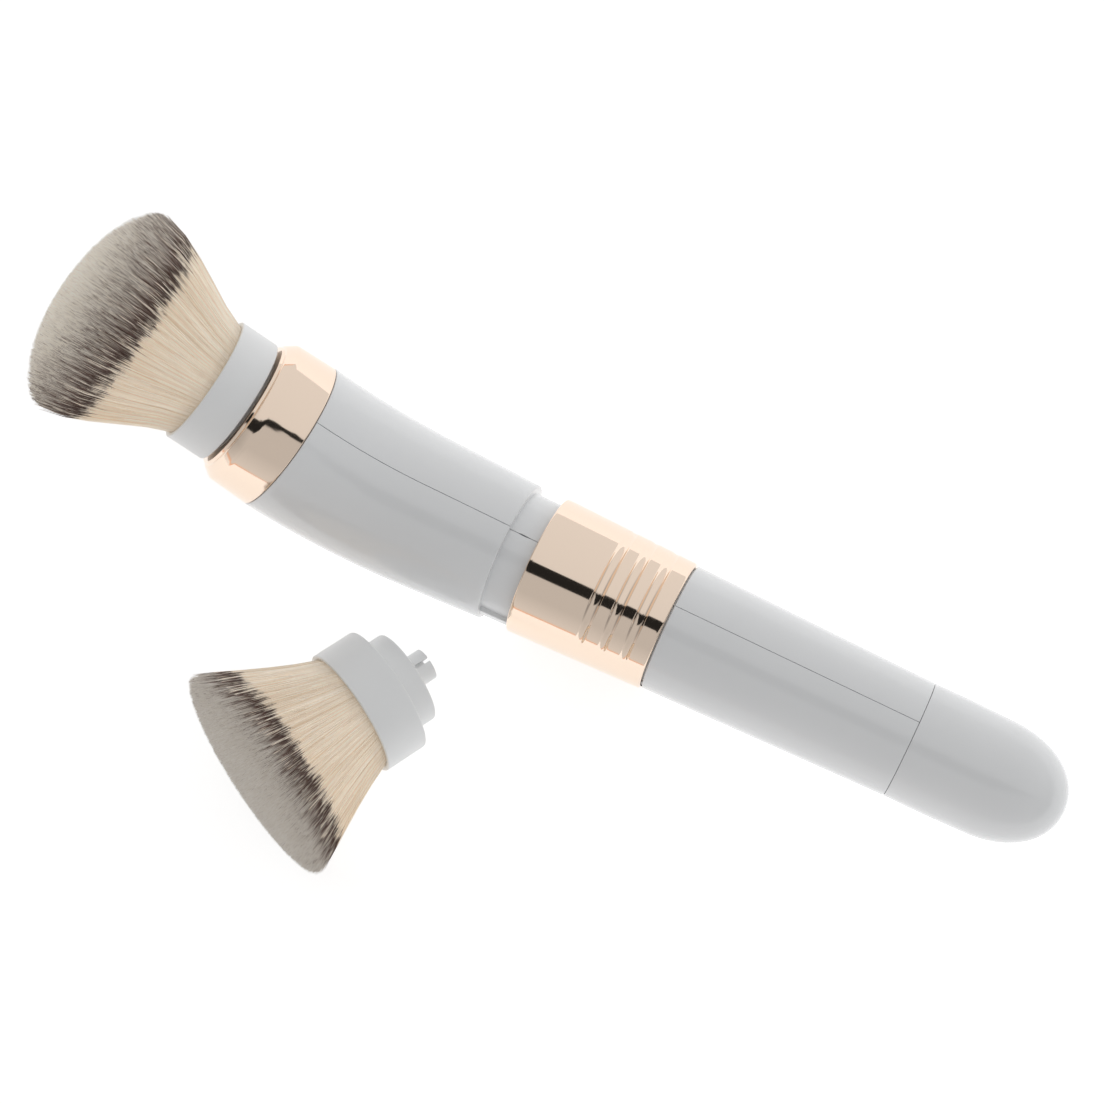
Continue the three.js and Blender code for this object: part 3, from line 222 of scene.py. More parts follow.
def spare_place():
    """The spare head's frame, from its seat: the seat's point lies above its middle."""
    mount = MOUNTS["spare_head_seat"]
    x_axis = Vector(mount["axis"]).normalized()
    place = placement(x_axis, Vector((0, 0, 1)), Vector())
    place.translation = Vector(mount["pos_m"]) - place.to_3x3() @ Vector((-SEAT_STATION, 0, SEAT_HEIGHT))
    return place


# ------------------------------------------------------------------ mesh work

def finished(mesh, name, body, slot, replaced):
    """Makes a mesh an object that rides on a body, with its slot's finish, and stands for CAD nodes."""
    mesh.name = name
    piece = bpy.data.objects.new(name, mesh)
    bpy.context.scene.collection.objects.link(piece)
    mesh.materials.clear()
    mesh.materials.append(look_for(slot))
    mesh.validate()
    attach(piece, body)
    if replaced:
        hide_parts(*replaced)
    return piece


def smooth(mesh, sharp=32):
    mesh.shade_smooth()
    mesh.set_sharp_from_angle(angle=math.radians(sharp))


def outward(mesh):
    """Merges doubles and turns every face outwards."""
    work = bmesh.new()
    work.from_mesh(mesh)
    bmesh.ops.remove_doubles(work, verts=work.verts, dist=1e-7)
    bmesh.ops.recalc_face_normals(work, faces=work.faces)
    work.to_mesh(mesh)
    work.free()


def sheet_faces(rows, columns, offset=0, wrap=False):
    """Quads of a grid of rows by columns, numbered from an offset."""
    faces = []
    last = columns if wrap else columns - 1
    for row in range(rows - 1):
        for column in range(last):
            right = (column + 1) % columns
            a, b = offset + row * columns + column, offset + row * columns + right
            faces.append((a, b, b + columns, a + columns))
    return faces


def slab(name, outer, inner, wrap=False):
    """A closed wall between two grids of the same rows and columns."""
    rows, columns = outer.shape[:2]
    count = rows * columns
    faces = sheet_faces(rows, columns, 0, wrap)
    faces += [face[::-1] for face in sheet_faces(rows, columns, count, wrap)]
    around = range(columns if wrap else columns - 1)
    for row, flip in ((0, True), (rows - 1, False)):
        for column in around:
            a, b = row * columns + column, row * columns + (column + 1) % columns
            face = (a, b, b + count, a + count)
            faces.append(face if not flip else face[::-1])
    if not wrap:
        for column, flip in ((0, False), (columns - 1, True)):
            for row in range(rows - 1):
                a, b = row * columns + column, (row + 1) * columns + column
                face = (a, b, b + count, a + count)
                faces.append(face if not flip else face[::-1])
    points = np.concatenate([outer.reshape(-1, 3), inner.reshape(-1, 3)])
    mesh = bpy.data.meshes.new(name)
    mesh.from_pydata(points.tolist(), [], faces)
    outward(mesh)
    return mesh


def around_axis(stations, radii, angles):
    """Points at stations and radii, turned by angles measured from Z towards Y."""
    radii = np.broadcast_to(radii, (len(stations), len(angles)))
    station = np.broadcast_to(np.asarray(stations)[:, None], radii.shape)
    return np.stack([-station, radii * np.sin(angles), radii * np.cos(angles)], axis=-1)


def rounded(corners, steps=5):
    """An outline of (station, radius, rounding) corners with each corner turned into an arc."""
    points = []
    for i, (x, y, size) in enumerate(corners):
        here = np.array([x, y])
        if size <= 0 or i in (0, len(corners) - 1):
            points.append((x, y))
            continue
        before = np.array(corners[i - 1][:2]) - here
        after = np.array(corners[i + 1][:2]) - here
        cut = [min(size, np.linalg.norm(side) / 2.2) for side in (before, after)]
        start = here + before / np.linalg.norm(before) * cut[0]
        end = here + after / np.linalg.norm(after) * cut[1]
        for share in np.linspace(0, 1, steps):
            curve = (1 - share) ** 2 * start + 2 * share * (1 - share) * here + share ** 2 * end
            points.append(tuple(curve))
    return points


def revolve(name, outline, sides=128):
    """A turned piece from (station, radius) points. It closes on the axis or on itself."""
    verts, rings, faces = [], [], []
    for station, radius in outline:
        if radius < 1e-7:
            rings.append([len(verts)])
            verts.append((-station, 0, 0))
            continue
        rings.append(list(range(len(verts), len(verts) + sides)))
        for k in range(sides):
            turn = 2 * math.pi * k / sides
            verts.append((-station, radius * math.sin(turn), radius * math.cos(turn)))
    pairs = list(zip(rings, rings[1:]))
    if len(rings[0]) > 1:
        pairs.append((rings[-1], rings[0]))
    for low, high in pairs:
        if len(low) == len(high) == 1:
            continue
        for k in range(sides):
            n = (k + 1) % sides
            if len(low) == 1:
                faces.append((low[0], high[n], high[k]))
            elif len(high) == 1:
                faces.append((low[k], low[n], high[0]))
            else:
                faces.append((low[k], low[n], high[n], high[k]))
    mesh = bpy.data.meshes.new(name)
    mesh.from_pydata(verts, [], faces)
    outward(mesh)
    return mesh


def box_mesh(low, high):
    mesh = bpy.data.meshes.new("box")
    work = bmesh.new()
    bmesh.ops.create_cube(work, size=1)
    for vert in work.verts:
        for k in range(3):
            vert.co[k] = low[k] if vert.co[k] < 0 else high[k]
    work.to_mesh(mesh)
    work.free()
    return mesh


def cut(mesh, cutters):
    """The mesh with the cutters taken away."""
    body = bpy.data.objects.new("cut_body", mesh)
    bpy.context.scene.collection.objects.link(body)
    tools = []
    for cutter in cutters:
        tool = bpy.data.objects.new("cut_tool", cutter)
        bpy.context.scene.collection.objects.link(tool)
        tools.append(tool)
        modifier = body.modifiers.new("cut", "BOOLEAN")
        modifier.operation, modifier.object, modifier.solver = "DIFFERENCE", tool, "EXACT"
    result = bpy.data.meshes.new_from_object(body.evaluated_get(bpy.context.evaluated_depsgraph_get()))
    for thing in (body, *tools):
        bpy.data.objects.remove(thing)
    return result


# ------------------------------------------------------------------ finishes

def colour4(value):
    return (*value, 1)


class Look:
    """A material being built: its node tree, its shader and its object coordinates."""

    def __init__(self, name):
        self.material = bpy.data.materials.new(name)
        self.material.use_nodes = True
        self.nodes, self.links = self.material.node_tree.nodes, self.material.node_tree.links
        self.shader = self.nodes["Principled BSDF"]
        self.place = self.nodes.new("ShaderNodeTexCoord").outputs["Object"]

    def set(self, **values):
        for name, value in values.items():
            self.shader.inputs[name.replace("_", " ")].default_value = value
        return self

    def node(self, kind, inputs=None, **settings):
        made = self.nodes.new(kind)
        for name, value in settings.items():
            setattr(made, name, value)
        for name, value in (inputs or {}).items():
            if isinstance(value, bpy.types.NodeSocket):
                self.links.new(value, made.inputs[name])
            else:
                made.inputs[name].default_value = value
        return made

    def stretched(self, scale, turn=(0, 0, 0)):
        mapping = self.node("ShaderNodeMapping", {"Vector": self.place, "Scale": scale, "Rotation": turn})
        return mapping.outputs["Vector"]

    def noise(self, scale, detail=4, roughness=0.55, place=None):
        made = self.node("ShaderNodeTexNoise", {
            "Vector": place or self.place, "Scale": scale, "Detail": detail, "Roughness": roughness})
        return made.outputs["Fac"]

    def ranged(self, value, low, high, start=0.3, end=0.7):
        made = self.node("ShaderNodeMapRange", {
            "Value": value, "From Min": start, "From Max": end, "To Min": low, "To Max": high})
        return made.outputs["Result"]

    def ramp(self, value, stops):
        made = self.node("ShaderNodeValToRGB", {"Fac": value})
        ramp = made.color_ramp
        while len(ramp.elements) < len(stops):
            ramp.elements.new(0.5)
        for element, (at, tone) in zip(ramp.elements, stops):
            element.position = at
            element.color = colour4(tone) if len(tone) == 3 else tone
        return made.outputs["Color"]

    def mix(self, factor, first, second, blend="MIX"):
        made = self.node("ShaderNodeMix", data_type="RGBA", blend_type=blend)
        for socket, value in ((made.inputs[0], factor), (made.inputs[6], first), (made.inputs[7], second)):
            if isinstance(value, bpy.types.NodeSocket):
                self.links.new(value, socket)
            else:
                socket.default_value = value if isinstance(value, (int, float)) else colour4(value)
        return made.outputs[2]

    def paint(self, socket, value):
        self.links.new(value, self.shader.inputs[socket])
        return self

    def bump(self, height, strength, distance):
        made = self.node("ShaderNodeBump", {"Height": height, "Strength": strength, "Distance": distance})
        last = self.shader.inputs["Normal"].links
        if last:
            self.links.new(last[0].from_socket, made.inputs["Normal"])
        self.links.new(made.outputs["Normal"], self.shader.inputs["Normal"])
        return self

    def speckled(self, base, dark, light, scale):
        """Colour that drifts a little between two shades of the base."""
        drift = self.noise(scale, 3)
        low = tuple(c * dark for c in base)
        high = tuple(min(1, c * light) for c in base)
        return self.paint("Base Color", self.ramp(drift, [(0.3, low), (0.7, high)]))


def gloss_plastic(name, base):
    """Injection-moulded shell: hard gloss, a faint orange peel, handling marks in the sheen."""
    look = Look(name).set(IOR=1.5, Coat_Weight=0.35, Coat_Roughness=0.04)
    look.speckled(base, 0.985, 1.01, 35)
    rub = look.noise(18, 5)
    streak = look.noise(260, 2, place=look.stretched((1, 5, 5)))
    look.paint("Roughness", look.ranged(look.mix(0.3, rub, streak), 0.13, 0.24))
    look.bump(look.noise(900, 2), 0.05, 0.00002)
    look.bump(look.noise(120, 2), 0.06, 0.00006)
    return look.material


def satin_plastic(name, base, rough=(0.36, 0.5)):
    """Fine spark-eroded satin moulding."""
    look = Look(name).set(IOR=1.48)
    look.speckled(base, 0.98, 1.01, 60)
    look.paint("Roughness", look.ranged(look.noise(150, 4), *rough))
    look.bump(look.noise(4500, 2), 0.16, 0.00002)
    return look.material


def plated(name, base):
    """Mirror plating over plastic: faint waviness, fine wipe marks, a few duller smudges."""
    look = Look(name).set(Metallic=1.0)
    look.speckled(base, 0.985, 1.0, 40)
    smudge = look.noise(45, 5)
    wipe = look.noise(1500, 3, place=look.stretched((0.15, 1, 1)))
    look.paint("Roughness", look.ranged(look.mix(0.35, smudge, wipe), 0.035, 0.1))
    look.bump(wipe, 0.02, 0.00001)
    look.bump(look.noise(55, 1), 0.1, 0.00005)
    return look.material


def plain_metal(name, base, rough=(0.22, 0.4), grain=(1, 12, 12)):
    """Bare metal with a brushed grain along X."""
    look = Look(name).set(Metallic=1.0)
    look.speckled(base, 0.9, 1.05, 300)
    brushed = look.noise(900, 4, place=look.stretched(grain))
    look.paint("Roughness", look.ranged(brushed, *rough))
    look.bump(brushed, 0.12, 0.00002)
    return look.material


def moulded(name, base, rough=(0.35, 0.55), peel=1800):
    """Plain moulded plastic or rubber with a fine skin."""
    look = Look(name).set(IOR=1.49)
    look.speckled(base, 0.93, 1.05, 120)
    look.paint("Roughness", look.ranged(look.noise(220, 4), *rough))
    look.bump(look.noise(peel, 3), 0.15, 0.00003)
    return look.material


def enamelled_copper(name, base):
    """Turns of wound wire under enamel, with painted shade darkening the creases between the turns."""
    look = Look(name).set(Metallic=0.9, Coat_Weight=0.5)
    wave = look.node("ShaderNodeTexWave", {"Vector": look.place, "Scale": 900, "Distortion": 1.5},
                     wave_type="BANDS", bands_direction="X")
    wound = wave.outputs["Fac"]
    # The bands darken the copper to 0.45 between the turns: painted shade in the creases
    look.paint("Base Color", look.mix(wound, tuple(c * 0.45 for c in base), base))
    look.paint("Roughness", look.ranged(wound, 0.3, 0.5))
    look.bump(wound, 0.6, 0.0001)
    return look.material


def circuit_green(name, base):
    """Solder mask with the raised lines of its tracks."""
    look = Look(name).set(IOR=1.5, Coat_Weight=0.4)
    tracks = look.node("ShaderNodeTexVoronoi", {"Vector": look.place, "Scale": 420},
                       feature="DISTANCE_TO_EDGE")
    line = look.ranged(tracks.outputs["Distance"], 1.0, 0.0, 0.02, 0.06)
    look.paint("Base Color", look.mix(line, base, tuple(min(1, c * 2.1) for c in base)))
    look.paint("Roughness", look.ranged(look.noise(300), 0.25, 0.45))
    look.bump(line, 0.3, 0.00004)
    return look.material


def cell_sleeve(name, base):
    """A plain battery sleeve: a glossy shrunk film over metal, a little mottled."""
    look = Look(name).set(Metallic=0.55, Coat_Weight=0.8)
    look.speckled(base, 0.85, 1.2, 90)
    look.paint("Roughness", look.ranged(look.noise(200, 4), 0.2, 0.36))
    look.bump(look.noise(600, 2), 0.1, 0.00003)
    return look.material


def filaments(name, tones):
    """Synthetic filaments: cream roots, a ragged dark band, pale mottled tips. They also glow faintly in
    their own colour, a painted light that brightens them as if light passed through them. Each mesh point
    carries how far along its filament it lies, its filament's own tone and the tone of the tuft that it
    stands in."""
    look = Look(name).set(IOR=1.5, Specular_IOR_Level=0.4, Sheen_Weight=0.4, Sheen_Roughness=0.35,
                          Sheen_Tint=(1.0, 0.93, 0.84, 1), Emission_Strength=0.24)
    along, tone, tuft = (look.node("ShaderNodeAttribute", attribute_name=key).outputs["Fac"]
                         for key in ("along", "tone", "tuft"))

    def maths(operation, first, second):
        return look.node("ShaderNodeMath", {0: first, 1: second}, operation=operation).outputs[0]

    own = maths("ADD", look.ranged(tone, -0.85, 0.85, 0, 1), look.ranged(tuft, -0.55, 0.55, 0.32, 0.68))
    late = look.ranged(along, 0.04, 0.24, 0.5, 0.66)
    wander = look.ranged(look.noise(420, 2), -0.03, 0.03)
    at = maths("ADD", along, maths("ADD", maths("MULTIPLY", own, late), wander))
    cream, band, band_end, tip = tones

    def shade(tone_of, share):
        return tuple(c * share for c in tone_of)

    # The cream at the very root is darkened to 0.85, painted shade where the filaments go into the cup's rim
    body = look.ramp(at, [
        (0.0, shade(cream, 0.85)), (0.08, cream), (0.46, shade(cream, 0.98)), (0.51, band),
        (0.62, shade(band, 2.2)), (0.74, band_end), (0.92, tip), (1.0, tip)])
    strands = maths("ADD", look.ranged(tone, -0.1, 0.5, 0, 1), look.ranged(tuft, -0.1, 0.16, 0.32, 0.68))
    filament_colour_and_glow = look.mix(strands, body, (0.64, 0.57, 0.47), "MULTIPLY")
    look.paint("Base Color", filament_colour_and_glow)
    # The same colour feeds the emission: a painted glow that stands in for light passing through the
    # filaments
    look.paint("Emission Color", filament_colour_and_glow)
    look.paint("Roughness", look.ranged(tone, 0.35, 0.6, 0, 1))
    look.bump(look.noise(2500, 2), 0.25, 0.00004)
    return look.material


def make_looks(finishes):
    """Each material slot of the record and the finish that it gets."""
    rows = {row["slot"]: tuple(row["base_color"][:3]) for row in RECORD["materials"]}
    cream, band, band_end, tip, flat_tip = (
        tuple(getattr(finishes, key)) for key in ("cream", "band", "band_end", "tip", "flat_tip"))
    return {
        "gloss_white": gloss_plastic("gloss_white_shell", tuple(finishes.gloss_white)),
        "satin_white": satin_plastic("satin_white_moulding", tuple(finishes.satin_white)),
        "rose_gold": plated("rose_gold_plating", tuple(finishes.rose_gold)),
        "domed_hair": filaments("domed_filaments", (cream, band, band_end, tip)),
        "flat_hair": filaments("flat_filaments", (cream, band, band_end, flat_tip)),
        "nylon": moulded("acetal_moulding", rows["nylon"], (0.3, 0.45)),
        "brass": plain_metal("plain_brass", rows["brass"], (0.2, 0.36)),
        "steel": plain_metal("plain_steel", rows["steel"]),
        "black_plastic": moulded("black_moulding", rows["black_plastic"]),
        "copper_winding": enamelled_copper("copper_winding", rows["copper_winding"]),
        "ferrite": moulded("sintered_ferrite", rows["ferrite"], (0.6, 0.8), 3500),
        "green_board": circuit_green("green_board", rows["green_board"]),
        "cell_sleeve": cell_sleeve("cell_sleeve", rows["cell_sleeve"]),
        "red_insulation": moulded("red_insulation", rows["red_insulation"], (0.35, 0.5), 2500),
        "black_insulation": moulded("black_insulation", rows["black_insulation"], (0.35, 0.5), 2500),
        "black_rubber": moulded("gasket_rubber", rows["black_rubber"], (0.6, 0.85), 4000),
    }


LOOKS = {}


def look_for(slot):
    """The finish of a material slot. All the finishes are made at the first call."""
    if not LOOKS:
        LOOKS.update(make_looks(bpy.context.scene.brush_finishes))
    return LOOKS[slot]


# ------------------------------------------------------------------ shells

SHELL_EDGE = 0.28 * MM           # rounding of the shells' outer edges
RING_STEP = 2 * MM               # how far the shells step in to carry the trim ring
SPIGOT_WALL = 1.8 * MM           # wall of the shells under the trim ring and in the neck
EDGE_DROP = 0.09 * MM            # how much the shells round over at their seam
SLIT_MIDDLE = 3.4 * MM           # the wider slit in the seam, in front of the collar's front edge
SLIT_HALF_LENGTH = 0.95 * MM
SLIT_DEPTH = 0.13 * MM


def neck_radius(sizes, station):
    """The neck's outside: a smooth curve through its three radii."""
    share = (station - sizes.neck_rear) / sizes.neck_length
    control = 2 * sizes.neck_middle_radius - (sizes.neck_rear_radius + sizes.neck_front_radius) / 2
    return ((1 - share) ** 2 * sizes.neck_rear_radius + 2 * share * (1 - share) * control
            + share ** 2 * sizes.neck_front_radius)


def track_radius(sizes, station, back):
    """The outside of the recessed track that the collar slides on, for its back or its inside half."""
    rear, front = ((sizes.track_back_rear, sizes.track_back_front) if back
                   else (sizes.track_inside_rear, sizes.track_inside_front))
    track_rear = -(sizes.collar_length + sizes.fit)
    share = (station - track_rear) / (sizes.neck_rear - track_rear)
    return rear + (front - rear) * share


def shell_outline(sizes, head):
    """The shell's outer profile as (station, inside-half radius, back-half radius, bore radius) rows."""
    track_rear = -(sizes.collar_length + sizes.fit)
    rear = track_rear - sizes.handle_length
    neck_front = sizes.neck_rear + sizes.neck_length
    spigot = sizes.neck_front_radius - RING_STEP
    spigot_bore = spigot - SPIGOT_WALL
    spigot_end = neck_front + head.ring_length - 2.7 * MM
    edge = SHELL_EDGE
    handle_bore = (sizes.handle_rear_radius - sizes.wall, sizes.track_inside_rear - 1.4 * MM)
    rows = []

    def add(station, inside, back, bore):
        rows.append((station, inside, back, bore))

    def handle(station):
        share = (station - rear) / sizes.handle_length
        radius = sizes.handle_rear_radius + (sizes.handle_front_radius - sizes.handle_rear_radius) * share
        return radius, handle_bore[0] + (handle_bore[1] - handle_bore[0]) * share

    corner = [(0, 1), (0.08, 0.6), (0.29, 0.29), (0.6, 0.08), (1, 0)]
    for along, down in corner:
        radius, bore = handle(rear + along * edge)
        add(rear + along * edge, radius - down * edge, radius - down * edge, bore)
    for station in np.linspace(rear + edge, track_rear - edge, 14)[1:-1]:
        radius, bore = handle(station)
        add(station, radius, radius, bore)
    for along, down in corner[::-1]:
        radius, bore = handle(track_rear - along * edge)
        add(track_rear - along * edge, radius - down * edge, radius - down * edge, bore)
    for station in np.linspace(track_rear, sizes.neck_rear, 40):
        inside, back = (track_radius(sizes, station, half) for half in (False, True))
        add(station, inside, back, handle_bore[1])
    for along, down in corner:
        radius = neck_radius(sizes, sizes.neck_rear + along * edge) - down * edge
        add(sizes.neck_rear + along * edge, radius, radius, handle_bore[1])
    for station in np.linspace(sizes.neck_rear + edge, neck_front - edge, 56)[1:-1]:
        radius = neck_radius(sizes, station)
        blend = min(1, (station - sizes.neck_rear) / (6 * MM))
        bore = handle_bore[1] + (radius - SPIGOT_WALL - handle_bore[1]) * blend
        add(station, radius, radius, min(bore, spigot + 0.4 * MM))
    for along, down in corner[::-1]:
        radius = neck_radius(sizes, neck_front) - down * edge
        add(neck_front - along * edge, radius, radius, spigot - 1.4 * MM)
    for station in (neck_front, neck_front + 1 * MM, spigot_end - 0.4 * MM):
        add(station, spigot, spigot, spigot_bore)
    add(spigot_end, spigot - 0.3 * MM, spigot - 0.3 * MM, spigot_bore)
    return rows


def shell_half(sizes, head, side):
    """One shell half. Its edge stands back from the seam, and a touch more where the slit is."""
    rows = shell_outline(sizes, head)
    stations = np.array([row[0] for row in rows])
    inside, back, bore = (np.array([row[k] for row in rows])[:, None] for k in (1, 2, 3))
    step = math.radians(0.35)
    angles = np.concatenate([
        np.radians([0.0, 0.25, 0.6]), np.linspace(math.radians(2), math.pi / 2 - step, 36),
        np.linspace(math.pi / 2 + step, math.pi - math.radians(2), 36), np.radians([179.4, 179.75, 180.0])])
    low_half = angles[None, :] > math.pi / 2
    outer_radius = np.where(low_half, back, inside)
    edge_drop = np.zeros(len(angles))
    edge_drop[[0, -1]] = EDGE_DROP
    outer_radius = outer_radius - edge_drop[None, :]
    inner_radius = np.broadcast_to(bore, outer_radius.shape)
    slit = SLIT_DEPTH * np.clip(1 - ((stations - SLIT_MIDDLE) / SLIT_HALF_LENGTH) ** 2, 0, 1)
    grids = []
    for k, radius in enumerate((outer_radius, inner_radius)):
        own = stations + k * 2e-6 * np.arange(len(stations))
        points = around_axis(own, radius, angles)
        gap = sizes.seam + slit * (1 if k == 0 else 0.6)
        points[..., 1] = np.maximum(points[..., 1], gap[:, None])
        points[..., 1] *= side
        grids.append(Spine(sizes).bend(points))
    mesh = slab("shell", *grids)
    mesh.transform(Spine(sizes).place)
    smooth(mesh, 30)
    return mesh


class BRUSH_OT_shells(bpy.types.Operator):
    """Make the left and right shells of the handle"""
    bl_idname = "makeup_brush.shells"
    bl_label = "Shells"

    def execute(self, context):
        scene = context.scene
        for word, side in (("left", 1), ("right", -1)):
            mesh = shell_half(scene.brush_handle, scene.brush_head, side)
            finished(mesh, f"shell_half_{word}", "handle", "gloss_white", [f"shell_{word}"])
        return {"FINISHED"}


# ------------------------------------------------------------------ collar, ring and cap

GROOVES = 3
COLLAR_EDGE = 0.45 * MM          # rounding of the collar's rims
GROOVE_SOFTNESS = 0.13 * MM      # how softly a groove's edge blends into the collar
TRACK_GAP = 0.25 * MM            # between the track and the collar


def collar_mesh(handle, sizes):
    """The collar: a tapering sleeve with thumb grooves that are deepest on its inside half."""
    rear = -handle.collar_length
    edge = COLLAR_EDGE

    def surface(station):
        share = 1 + station / handle.collar_length
        return sizes.rear_radius + (sizes.front_radius - sizes.rear_radius) * share

    corner = np.array([0, 0.08, 0.29, 0.6, 1]) * edge
    drop = np.array([1, 0.6, 0.29, 0.08, 0]) * edge
    grooves = [-(sizes.groove_first + k * sizes.groove_pitch) for k in range(GROOVES)]
    near = np.linspace(grooves[-1] - 2 * sizes.groove_tube, grooves[0] + 2 * sizes.groove_tube, 150)
    stations = np.concatenate([rear + corner, np.linspace(rear + edge, near[0], 6)[1:-1], near,
                               np.linspace(near[-1], -edge, 16)[1:-1], -corner[::-1]])
    drops = np.zeros(len(stations))
    drops[:5], drops[-5:] = drop, drop[::-1]
    angles = np.linspace(0, 2 * math.pi, 200, endpoint=False)
    radius = np.array([surface(s) for s in stations])[:, None] - drops[:, None]
    radius = np.broadcast_to(radius, (len(stations), len(angles))).copy()
    offset = sizes.groove_depth / (1 - math.cos(sizes.groove_half_angle))
    for groove in grooves:
        ring = surface(groove) + sizes.groove_tube - sizes.groove_depth + offset
        middle = -offset * np.cos(angles) + np.sqrt(ring ** 2 - (offset * np.sin(angles)) ** 2)
        away = np.abs(stations - groove)[:, None]
        hollow = middle[None, :] - np.sqrt(np.maximum(sizes.groove_tube ** 2 - away ** 2, 0))
        cut_here = away < sizes.groove_tube
        level = surface(groove)
        blended = np.exp((level - radius) / GROOVE_SOFTNESS) + np.exp((level - hollow) / GROOVE_SOFTNESS)
        radius = np.where(cut_here, np.minimum(radius, level - GROOVE_SOFTNESS * np.log(blended)), radius)
    half = np.cos(angles)[None, :] < 0
    track_back, track_inside = (
        np.array([track_radius(handle, station + sizes.travel, back) for station in stations])[:, None]
        for back in (True, False))
    bore = np.where(half, track_back, track_inside)
    bore = np.minimum(bore + TRACK_GAP, radius - 0.12 * MM)
    outside, inside = (around_axis(stations, wall, angles) for wall in (radius, bore))
    mesh = slab("collar", outside, inside, wrap=True)
    mesh.transform(Spine(handle).place)
    smooth(mesh, 40)
    return mesh


class BRUSH_OT_collar(bpy.types.Operator):
    """Make the slider collar with its thumb grooves"""
    bl_idname = "makeup_brush.collar"
    bl_label = "Slider collar"

    def execute(self, context):
        mesh = collar_mesh(context.scene.brush_handle, context.scene.brush_collar)
        finished(mesh, "plated_collar", "collar", "rose_gold", ["slider_collar"])
        return {"FINISHED"}


def trim_ring_outline(handle, head):
    """The ring's section: a bore, a bright band, a sloping front and a lip round the mouth."""
    bore = handle.neck_front_radius - 1.7 * MM
    slope_start = head.ring_length - head.ring_chamfer
    lip = head.ring_length - 2.4 * MM
    return rounded([
        (0.15 * MM, bore, 0),
        (0.15 * MM, handle.neck_front_radius, 0.25 * MM),
        (slope_start, head.ring_chamfer_radius, 0.5 * MM),
        (head.ring_length - 0.7 * MM, head.ring_lip_radius + 0.35 * MM, 0.3 * MM),
        (head.ring_length - 0.6 * MM, head.ring_lip_radius - 0.15 * MM, 0.1 * MM),
        (head.ring_length, head.ring_lip_radius - 0.35 * MM, 0.2 * MM),
        (head.ring_length, head.ring_mouth_radius, 0.3 * MM),
        (lip, head.ring_mouth_radius, 0.1 * MM),
        (lip, bore, 0),
    ])


class BRUSH_OT_trim_ring(bpy.types.Operator):
    """Make the plated trim ring at the front of the neck"""
    bl_idname = "makeup_brush.trim_ring"
    bl_label = "Trim ring"

    def execute(self, context):
        outline = trim_ring_outline(context.scene.brush_handle, context.scene.brush_head)
        mesh = revolve("trim_ring", outline, 192)
        mesh.transform(NOSE)
        smooth(mesh)
        finished(mesh, "plated_trim_ring", "handle", "rose_gold", ["front_trim_ring"])
        return {"FINISHED"}


CAP_SEAM = 0.07 * MM             # the gap that shows between the cap and the shells
DOME_SQUARENESS = 0.94           # 1 is a plain ellipse, and less is squarer


def dome_points(start, radius, depth, steps):
    """The cap's end, a quarter of a slightly squared ellipse, from its start to its tip."""
    points = []
    for i in range(steps + 1):
        turn = math.pi / 2 * i / steps
        inward, across = math.sin(turn), max(0, math.cos(turn))
        points.append((start - depth * inward ** DOME_SQUARENESS, radius * across ** DOME_SQUARENESS))
    points[-1] = (points[-1][0], 0)
    return points


class BRUSH_OT_battery_cap(bpy.types.Operator):
    """Make the rounded battery cap"""
    bl_idname = "makeup_brush.battery_cap"
    bl_label = "Battery cap"

    def execute(self, context):
        sizes = context.scene.brush_handle
        rear = -(sizes.collar_length + sizes.fit) - sizes.handle_length
        front = rear - CAP_SEAM
        dome_start = rear - sizes.fit - sizes.cap_length + sizes.dome_depth
        spigot = sizes.handle_rear_radius - sizes.wall - 1.1 * MM
        mouth = spigot - 0.9 * MM
        wall = 1.5 * MM
        middle = (front + dome_start) / 2
        belly = (sizes.handle_rear_radius + sizes.dome_radius) / 2 + 0.12 * MM
        outline = dome_points(dome_start, sizes.dome_radius, sizes.dome_depth, 40)[::-1]
        outline += rounded([
            (dome_start, sizes.dome_radius, 0),
            (middle, belly, 9 * MM),
            (front, sizes.handle_rear_radius, 0.12 * MM),
            (front, spigot, 0.05 * MM),
            (rear + 3 * MM, spigot, 0.3 * MM),
            (rear + 3 * MM, mouth, 0.2 * MM),
            (front - wall, mouth, 0.5 * MM),
            (dome_start, sizes.dome_radius - wall, 0)], 7)[1:]
        outline += dome_points(dome_start, sizes.dome_radius - wall, sizes.dome_depth - wall, 20)[1:]
        mesh = revolve("cap", outline, 160)
        mesh.transform(Spine(sizes).place)
        smooth(mesh)
        finished(mesh, "rounded_cap", "cap", "gloss_white", ["battery_cap"])
        return {"FINISHED"}


# ------------------------------------------------------------------ brush heads

class HeadPlace:
    """Stations of a brush head on the nose's axis, from the front of the neck."""

    def __init__(self, sizes, fit, cup_length):
        self.cup_rear = sizes.ring_length + sizes.gap
        self.cup_front = self.cup_rear + cup_length
        self.disc_front = self.cup_rear - fit
        self.disc_rear = self.disc_front - sizes.disc_thickness
        self.spigot_end = self.disc_rear - sizes.spigot_length


def cup_outline(sizes, at):
    """The ferrule cup's section: a wall, a floor and a hole for the plug's boss."""
    inner = sizes.cup_radius - sizes.cup_wall
    floor = at.cup_rear + 1.4 * MM
    hole = 8 * MM
    return rounded([
        (at.cup_rear, hole, 0),
        (at.cup_rear, sizes.cup_radius, 0.5 * MM),
        (at.cup_front, sizes.cup_radius, 0.3 * MM),
        (at.cup_front, inner, 0.4 * MM),
        (floor, inner, 0.5 * MM),
        (floor, hole, 0.1 * MM),
        (at.cup_rear, hole, 0),
    ])[:-1]


